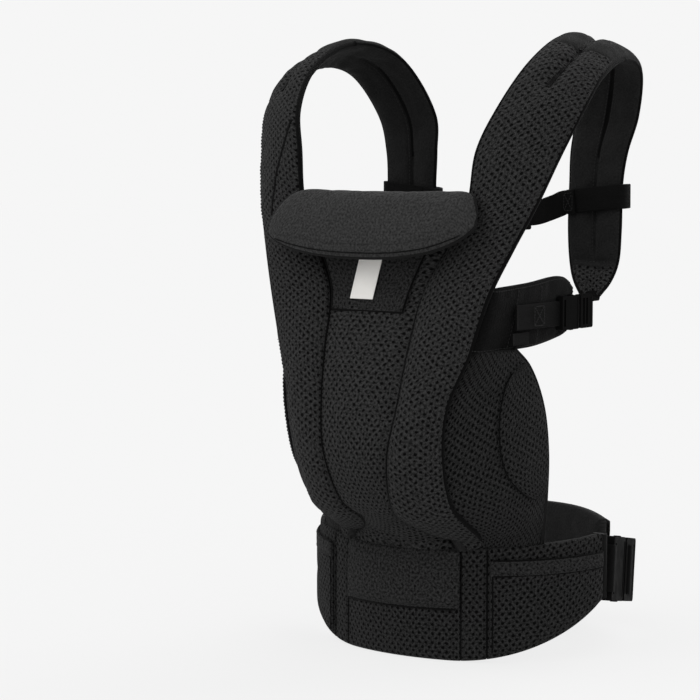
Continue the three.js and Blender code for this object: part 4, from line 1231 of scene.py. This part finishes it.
def make_straps():
    """The straps' padding, its stitches and piping, and painted shade in its seams, folds and pleat."""
    pad_pair("shoulder_band", band, [MESH, LINING_STRAP], "mesh_fabric", ["panel_band", "strap_front"], 0.7)
    tip = (back_at > BACK_TIP).astype(int)
    pad_pair("shoulder_back", back_strap, [LINING_STRAP, MESH], "lining_fabric",
             ["strap_top", "strap_back"], 0.7, zone=[tip, tip])
    run = np.linspace(0.01, 0.99, 200)
    stitch(band.line(run * 0.70, 0.045), both=True)
    stitch(band.line(run, 0.955), both=True)
    for station in BACK_ROWS:
        stitch(back_strap.line(back_share(station), np.linspace(0.06, 0.94, 30), "back"), both=True)
    u = back_share(np.linspace(13.6, 18.7, 120))
    for across in (0.455, 0.545):
        stitch(back_strap.line(u, across, "back"), both=True)
    # Painted shade: near-black tapes in the left band's fold, the back strap's inner seam and pleat, and
    # the shoulder's crease.
    t = np.linspace(0, 1, 40)
    points, normals = band.line(mixed(10.7, 8.6, t) / SHOULDER, mixed(0.05, 0.60, t))
    seam("strap_left_fold", (points * MIRROR, normals * MIRROR), width=0.0026)
    seam("strap_inner_seam_shade", back_strap.line(u, 0.5, "back"), both=True, width=0.0046, lift=0.0010)
    low, top = np.linspace(11.4, SHOULDER - 0.05, 40), np.linspace(SHOULDER - 0.1, 13.5, 30)
    for name, line in (("strap_fold_seam_shade", band.line(low / SHOULDER, fold_place(low))),
                       ("strap_top_seam_shade", back_strap.line(back_share(top), fold_place(top)))):
        seam(name, line, both=True, width=0.0042, lift=0.0012)
    pleat = back_share(np.linspace(14.0, 16.2, 40))
    seam("strap_pleat_shade", back_strap.line(pleat, 0.49, "back"), both=True, width=0.0090, lift=0.0012)
    # The piping is real but made in the near-black seam-shade material, so it also paints a dark line of
    # shade along the straps' edges.
    for part, first, last, width, height in (("strap", 0.3, 13.0, 0.0046, 0.0058),
                                             ("back", 12.95, BACK_END, 0.0036, 0.0036)):
        station = np.linspace(first, last, 150)
        across = strap(station, 0.55) - strap(station, 0.45)
        for edge_name, edge in (("inner", 0.01), ("outer", 0.985)):
            centres = strap(station, np.full(150, edge))
            sweep_pair(f"{part}_piping_{edge_name}", centres, across, round_section(width, height), SEAM)


# Side fastening -----------------------------------------------------------------------------
tab_low = spline([(0, 0.316), (0.2, 0.317), (0.55, 0.319), (1, 0.330)])
tab_high = spline([(0, 0.380), (0.4, 0.383), (0.75, 0.387), (1, 0.383)])


def tab_surface(u, v):
    """The side tab, from the band to its rounded end, and from its lower to its upper edge."""
    end = 0.009 * np.maximum(0, (u - 0.86) / 0.14) ** 2
    behind = np.minimum(u, 0)
    u = np.maximum(u, 0)
    z = mixed(tab_low(u) + end, tab_high(u) - end, v)
    bow = mixed(0.006, 0.003, v) * np.sin(np.pi * u)
    x = mixed(mixed(0.1174, 0.134, v), 0.133, u) + bow + behind * 0.22
    y = mixed(mixed(-0.1835, -0.1735, v), -0.027, u) - behind * 0.05
    return xyz(x, y, z)


side_tab = Sheet(lambda u, v: tab_surface(mixed(-0.06, 1, u), v), 36, 15)
tab_creases = side_tab.creases((0.040, 0.009), 29)
side_tab.fill(side_tab.cushion(0.0008, 0.0030, 0.007) - 0.0012 * tab_creases * side_tab.rim(0.02),
              side_tab.cushion(0.0008, 0.0028, 0.007))
sew(side_tab, 0.012, 0.0018)
sew(side_tab, 0.014, 0.0022, face="back")


def both_ribbons(name, centres, across, width, node, thickness=WEB):
    """A ribbon on the right and its mirror image on the left."""
    for side, mark in SIDES:
        ribbon(f"{name}_{side}", centres * mark, across * mark, width, "root", [f"{node}_{side}"],
               thickness=thickness)


def make_sides():
    # The side tabs take the darkened copy of the lining: painted shade.
    pad_pair("side_tab_pad", side_tab, [LINING_SHADED], "lining_fabric", ["side_tab"], 0.6)
    run = np.linspace(0.04, 0.96, 60)
    for across in (0.05, 0.95):
        stitch(side_tab.line(run, across), both=True)
    for u in (0.30, 0.56, 0.97):
        stitch(side_tab.line(u, run), both=True)
    t = np.linspace(0, 1, 24)
    centres = xyz(mixed(0.1415, SIDE_X, t), mixed(-0.145, SIDE_Y + 0.0015, t), SIDE_Z)
    both_ribbons("side_buckle_webbing", centres, UP, SIDE_WIDTH, "side_webbing")
    centres = xyz(0.1403, mixed(-0.150, -0.118, np.linspace(0, 1, 10)), 0.329)
    both_ribbons("side_stay_webbing", centres, UP, 0.012, "side_stay", thickness=0.0016)
    start = SIDE_Y + 0.044
    x, z = SIDE_X - 0.0062, SIDE_Z
    path = Curve([(x, start, z), (x, -0.008, z), (x - 0.0025, 0.003, z + 0.001),
                  (x - 0.0080, 0.014, z + 0.004), (0.1260, 0.0215, z + 0.0095),
                  (0.1235, 0.0300, z + 0.0205)])
    width_way = Curve([(0, 0, 1), (0.02, 0, 1), (0.12, 0, 0.99), (0.45, 0.15, 0.88), (0.93, 0.36, 0),
                       (0.94, 0.34, 0)])
    t = np.linspace(0, 1, 44)
    centres = path(t) + CENTRE
    both_ribbons("strap_adjuster_webbing", centres, width_way(t), SIDE_WIDTH - 0.004, "adjuster_webbing")
    for mark in (1, -1):
        place = (mark * (SIDE_X + 0.0012), SHIFT - 0.106, SIDE_Z)
        box_stitch(place, (0, 1, 0), (0, 0, 1), (mark, 0, 0), 0.018, 0.019)


def box_stitch(centre, along, across, normal, length, width, body="root"):
    """A sewn box with a cross in it."""
    centre, along, across = (np.array(v, float) for v in (centre, along, across))
    corners = [centre + along * length / 2 * a + across * width / 2 * b
               for a, b in ((-1, -1), (1, -1), (1, 1), (-1, 1))]
    for first, second in ((0, 1), (1, 2), (2, 3), (3, 0), (0, 2), (1, 3)):
        points = np.linspace(corners[first], corners[second], 8)
        stitch((points, np.tile(np.array(normal, float), (8, 1))), body, length=0.0022, gap=0.0009)


# Chest strap --------------------------------------------------------------------------------
def loop_line(half_x, half_y, corner):
    """A rectangle with round corners, as a closed line of (x, y) points."""
    steps = 16
    points = []
    for quarter, (sx, sy) in enumerate(((1, 1), (-1, 1), (-1, -1), (1, -1))):
        angles = (quarter + np.linspace(0, 1, steps)) * np.pi / 2
        points.append(np.stack([sx * (half_x - corner) + corner * np.cos(angles),
                                sy * (half_y - corner) + corner * np.sin(angles)], -1))
    outline = np.concatenate(points)
    closed = np.vstack([outline, outline[:1]])
    run = np.concatenate([[0], np.cumsum(np.linalg.norm(np.diff(closed, axis=0), axis=-1))])
    even = np.linspace(0, run[-1], 4 * steps, endpoint=False)
    return np.stack([np.interp(even, run, closed[:, k]) for k in (0, 1)], -1)


def chest_line(end_x, end_y):
    """The chest strap's line, from inside its loop to its end beside the buckle."""
    start_x, start_y = 0.082, 0.0408
    x = np.linspace(start_x + 0.014, end_x, 40)
    rise = np.clip((x - 0.046) / (start_x - 0.046), 0, 1)
    z = CHEST_Z - CHEST_SAG * (1 - rise**2) + 0.1 * np.maximum(x - start_x, 0)
    return xyz(x, mixed(end_y, start_y, smooth(x, 0.067, start_x)), z)


def chest_ribbon(name, centres, node, loop=False):
    ribbon(name, centres, UP, SIDE_WIDTH, "chest_strap", [node], loop=loop)


def make_chest_strap():
    outline = loop_line(0.035, 0.011, 0.009)
    centres = xyz(0.1165 + outline[:, 0], 0.0535 + outline[:, 1], CHEST_Z + 0.004 + 0.1 * outline[:, 0])
    for side, mark in SIDES:
        chest_ribbon("chest_loop_webbing_" + side, centres * mark, "chest_loop_" + side, loop=True)
    chest_ribbon("chest_strap_webbing_left", chest_line(0.0165, CHEST_Y) * MIRROR, "chest_webbing_left")
    under_latch = chest_line(0.026, CHEST_Y - 0.0054)
    chest_ribbon("chest_strap_webbing_right", under_latch, "chest_webbing_right")
    for mark in (-1, 1):
        centre = xyz(mark * 0.0885, 0.0396, CHEST_Z + 0.0007)
        box_stitch(centre, (mark, 0, 0.10), (0, 0, 1), (0, -1, 0), 0.010, 0.018, "chest_strap")


# Waist webbing and lumbar pad ---------------------------------------------------------------
WAIST_START = np.array([0.1685, -0.010, 0.088])
WAIST_END = np.array([0.144, 0.079, 0.071])
waist_along = unit(WAIST_END - WAIST_START)
waist_out = unit(np.array([waist_along[1], -waist_along[0], 0]))
waist_under_latch = WAIST_START - waist_out * 0.0078 + CENTRE


def lumbar_low(theta):
    return 0.028 * smooth(np.abs(theta), 8, 26)


def lumbar_high(theta):
    return 0.125 - 0.009 * (np.abs(theta) / LUMBAR_ANGLE) ** 3


def lumbar_surface(u, v):
    theta = mixed(-LUMBAR_ANGLE, LUMBAR_ANGLE, u)
    return rear(theta, -0.0085, mixed(lumbar_low(theta), lumbar_high(theta), v))


lumbar = Sheet(lumbar_surface, 46, 26)
lumbar_quilt = ridge(np.abs(np.mod(lumbar.v * 3 + 0.5, 1) - 0.5), 0.06) * lumbar.rim(0.02, sides=False)
lumbar.fill(lumbar.cushion(0.0010, 0.0048, 0.010) - 0.0026 * lumbar_quilt * lumbar.rim(0.014), 0.0052)
sew(lumbar, 0.014, 0.0028, held=lumbar_quilt > 0.75)


def sleeve_surface(u, v):
    theta = mixed(-LUMBAR_ANGLE + 1.5, LUMBAR_ANGLE - 1.5, u)
    return rear(theta, 0.0036, mixed(lumbar_low(theta) + 0.004, lumbar_high(theta) - 0.005, v))


sleeve = Sheet(sleeve_surface, 46, 22, turned=True)
sleeve_seam = ridge(np.abs(sleeve.v - 0.5) - 0.28, 0.03)
sleeve.fill(sleeve.cushion(0.0005, 0.0009, 0.003) - 0.0006 * sleeve_seam, 0.0010)
sew(sleeve, 0.012, 0.0026, held=sleeve_seam > 0.7)


def make_waist():
    low_back = [rear(theta, 0, REAR_Z) for theta in (36, 24, 12, 0, -12, -24, -36)]
    path = Curve([waist_under_latch + waist_along * 0.068, waist_under_latch + waist_along * 0.088,
                  rear(42.5, 0, REAR_Z + 0.003), *low_back, rear(-47, 0, REAR_Z + 0.006),
                  ring(-113, -0.005, REAR_Z + 0.015), ring(-98, -0.007, REAR_Z + 0.024),
                  ring(-BELT_END - 0.3, -0.007, REAR_Z + 0.029)])
    centres = path(np.linspace(0, 1, 150))
    ribbon("waist_belt_webbing", centres, UP, WAIST_WIDTH - 0.002, "root", ["waist_webbing"])
    t = np.linspace(0, 1, 20)
    centres = rear(mixed(39.6, 32.5, t), 0.0034, REAR_Z + 0.003 * (1 - t) ** 2)
    ribbon("waist_belt_tail", centres, UP, WAIST_WIDTH - 0.004, "root", ["waist_webbing_tail"])
    turn = np.linspace(0, 2 * np.pi, 64, endpoint=False)
    round_off = 0.35
    side = np.sign(np.cos(turn)) * np.abs(np.cos(turn)) ** round_off
    tall = np.sign(np.sin(turn)) * np.abs(np.sin(turn)) ** round_off
    centres = rear(np.full(64, 36.5), 0.0017 + 0.0044 * side, REAR_Z + 0.001 + 0.0274 * tall)
    across = rear(37.0, 0, REAR_Z) - rear(36.0, 0, REAR_Z)
    ribbon("waist_elastic_keeper", centres, across, 0.0108, "waist_keeper", ["waist_keeper"],
           TAPE, 0.0012, loop=True)
    pad("lumbar_cushion", lumbar, [LINING], "lumbar", "lining_fabric", ["lumbar_pad"], 0.7)
    pad("lumbar_tunnel", sleeve, [MESH], "lumbar", "mesh_fabric", ["lumbar_sleeve"], 0.2)
    run = np.linspace(0.02, 0.98, 120)
    for across in (0.05, 0.22, 0.78, 0.95):
        stitch(sleeve.line(run, across), "lumbar")
    for across in (1 / 3, 2 / 3):
        stitch(lumbar.line(0.04 + run * 0.92, across), "lumbar")


# Buckles ------------------------------------------------------------------------------------
# The lengths of a buckle's housing, of the gap behind it and of its latch, half its width,
# its thickness, its edges' radius, the ends of its arms' windows, and the ribs on its arms:
# where they begin in the window, how far apart they are and how far they stand out.
SMALL_BUCKLE = SimpleNamespace(
    housing=0.032, neck=0.004, latch=0.024, half=0.017, thick=0.0085, radius=0.0007,
    window=(0.013, 0.024), rib_first=0.45, rib_pitch=0.0021, rib_out=0.0003)
WAIST_BUCKLE = SimpleNamespace(
    housing=0.046, neck=0.009, latch=0.038, half=0.033, thick=0.0115, radius=0.0011,
    window=(0.020, 0.036), rib_first=0.42, rib_pitch=0.0034, rib_out=0.0005)


def rounded_copy(node, body, radius):
    """The node's own shape with its sharp edges rounded off, as moulding leaves them."""
    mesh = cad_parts[node].data.copy()
    mesh.materials.clear()
    mesh.materials.append(PLASTIC)
    piece = add_object(node + "_moulding", mesh)
    merge = piece.modifiers.new("flat_faces", "DECIMATE")
    merge.decimate_type = "DISSOLVE"
    merge.angle_limit = math.radians(3)
    bevel = piece.modifiers.new("rounding", "BEVEL")
    bevel.width = radius
    bevel.segments = 2
    bevel.limit_method = "ANGLE"
    bevel.angle_limit = math.radians(40)
    mesh.polygons.foreach_set("use_smooth", [True] * len(mesh.polygons))
    smoothing = piece.modifiers.new("normals", "WEIGHTED_NORMAL")
    smoothing.keep_sharp = True
    return settle(piece, body, "plastic", [node])


def buckle_place(name):
    """A buckle's own frame: its start, and unit vectors along, across and out of it."""
    if name == "waist_buckle":
        origin, along, out = WAIST_START, waist_along, waist_out
    elif name == "chest_buckle":
        origin = np.array([-0.016, CHEST_Y, CHEST_Z - CHEST_SAG])
        along, out = np.array([1.0, 0, 0]), np.array([0, 1.0, 0])
    else:
        mark = 1 if name.endswith("right") else -1
        origin = np.array([mark * SIDE_X, SIDE_Y, SIDE_Z])
        along, out = np.array([0, 1.0, 0]), np.array([mark, 0, 0.0])
    out = unit(out - along * np.dot(out, along))
    return origin + CENTRE, along, np.cross(out, along), out


def bar(name, place, start, end, width, height, body):
    """A rounded moulded rib between two points of a buckle's frame."""
    origin, along, across, out = place
    points = [origin + along * p[0] + across * p[1] + out * p[2] for p in (start, end)]
    centres = np.linspace(points[0], points[1], 5)
    side = along if abs(start[0] - end[0]) < abs(start[1] - end[1]) else across
    rib = sweep(name, centres, side, round_section(width, height, 8), PLASTIC)
    return settle(rib, body, "plastic")


def make_buckle(name, key, body, size):
    """A buckle's mouldings, rounded, with a lip and a grip on each face and ribs on its arms."""
    rounded_copy(name + "_housing", body, size.radius)
    rounded_copy(name + "_latch", key + "_latch", size.radius)
    for arm in "ab":
        rounded_copy(f"{name}_arm_{arm}", f"{key}_arm_{arm}", size.radius * 0.6)
    place = buckle_place(name)
    rise = size.thick / 2
    mouth, grip = size.housing - 0.0022, size.housing + size.neck + size.latch - 0.0030
    for face, sign in (("outer", 1), ("inner", -1)):
        wide, top = size.half * 0.86, sign * rise
        bar(f"{name}_lip_{face}", place, (mouth, -wide, top), (mouth, wide, top), 0.0030, 0.0012, body)
        wide, top = size.half * 0.8, sign * (rise - 0.0006)
        bar(f"{name}_grip_{face}", place, (grip, -wide, top), (grip, wide, top), 0.0026, 0.0012,
            key + "_latch")
    for arm, side in (("a", 1), ("b", -1)):
        for count in range(3):
            x = mixed(*size.window, size.rib_first) + size.rib_pitch * (count + 0.6)
            y = side * (size.half + size.rib_out)
            bar(f"{name}_arm_{arm}_rib_{count}", place, (x, y, -rise * 0.5), (x, y, rise * 0.5),
                0.0010, 0.0010, f"{key}_arm_{arm}")


def make_waist_webbing_ends():
    """The webbing's loop round the housing's bar, and its fold over the latch's bar."""
    origin, along, across, out = buckle_place("waist_buckle")
    bar_size, slot_size, thick = 0.0045, 0.0052, WAIST_BUCKLE.thick
    low = thick / 2 + 0.0011
    turn = bar_size + slot_size / 2 + 0.0003
    flat = loop_line((turn + 0.0042) / 2, low, 0.0035)
    centres = origin + along * (flat[:, :1] + (turn - 0.0042) / 2) + out * flat[:, 1:]
    ribbon("waist_buckle_anchor", centres, across, WAIST_WIDTH - 0.002, "root", ["waist_anchor_webbing"],
           thickness=0.0014, loop=True)
    start = WAIST_BUCKLE.housing + WAIST_BUCKLE.neck + bar_size * 1.6 + slot_size / 2
    second = start + slot_size + bar_size * 0.9
    base, high = -(thick / 2 + 0.0002), thick / 2 + 0.001
    path = Curve([(start, base, 0), (start, high - 0.002, 0), (start + 0.0012, high, 0),
                  (second - 0.0012, high, 0), (second, high - 0.002, 0), (second, base, 0)])
    flat = path(np.linspace(0, 1, 40))
    centres = origin + along * flat[:, :1] + out * flat[:, 1:2]
    ribbon("waist_latch_webbing", centres, across, WAIST_WIDTH, "waist_latch", ["waist_latch_fold"],
           thickness=0.0014)


# Assembly -----------------------------------------------------------------------------------
simulate()
make_belt()
make_panel()
make_wings()
make_head_support()
make_straps()
make_sides()
make_chest_strap()
make_waist()
make_buckle("waist_buckle", "waist", "root", WAIST_BUCKLE)
for side, _ in SIDES:
    make_buckle("side_buckle_" + side, "side_" + side, "root", SMALL_BUCKLE)
make_buckle("chest_buckle", "chest", "chest_strap", SMALL_BUCKLE)
make_waist_webbing_ends()
make_stitches()

bpy.context.view_layer.update()
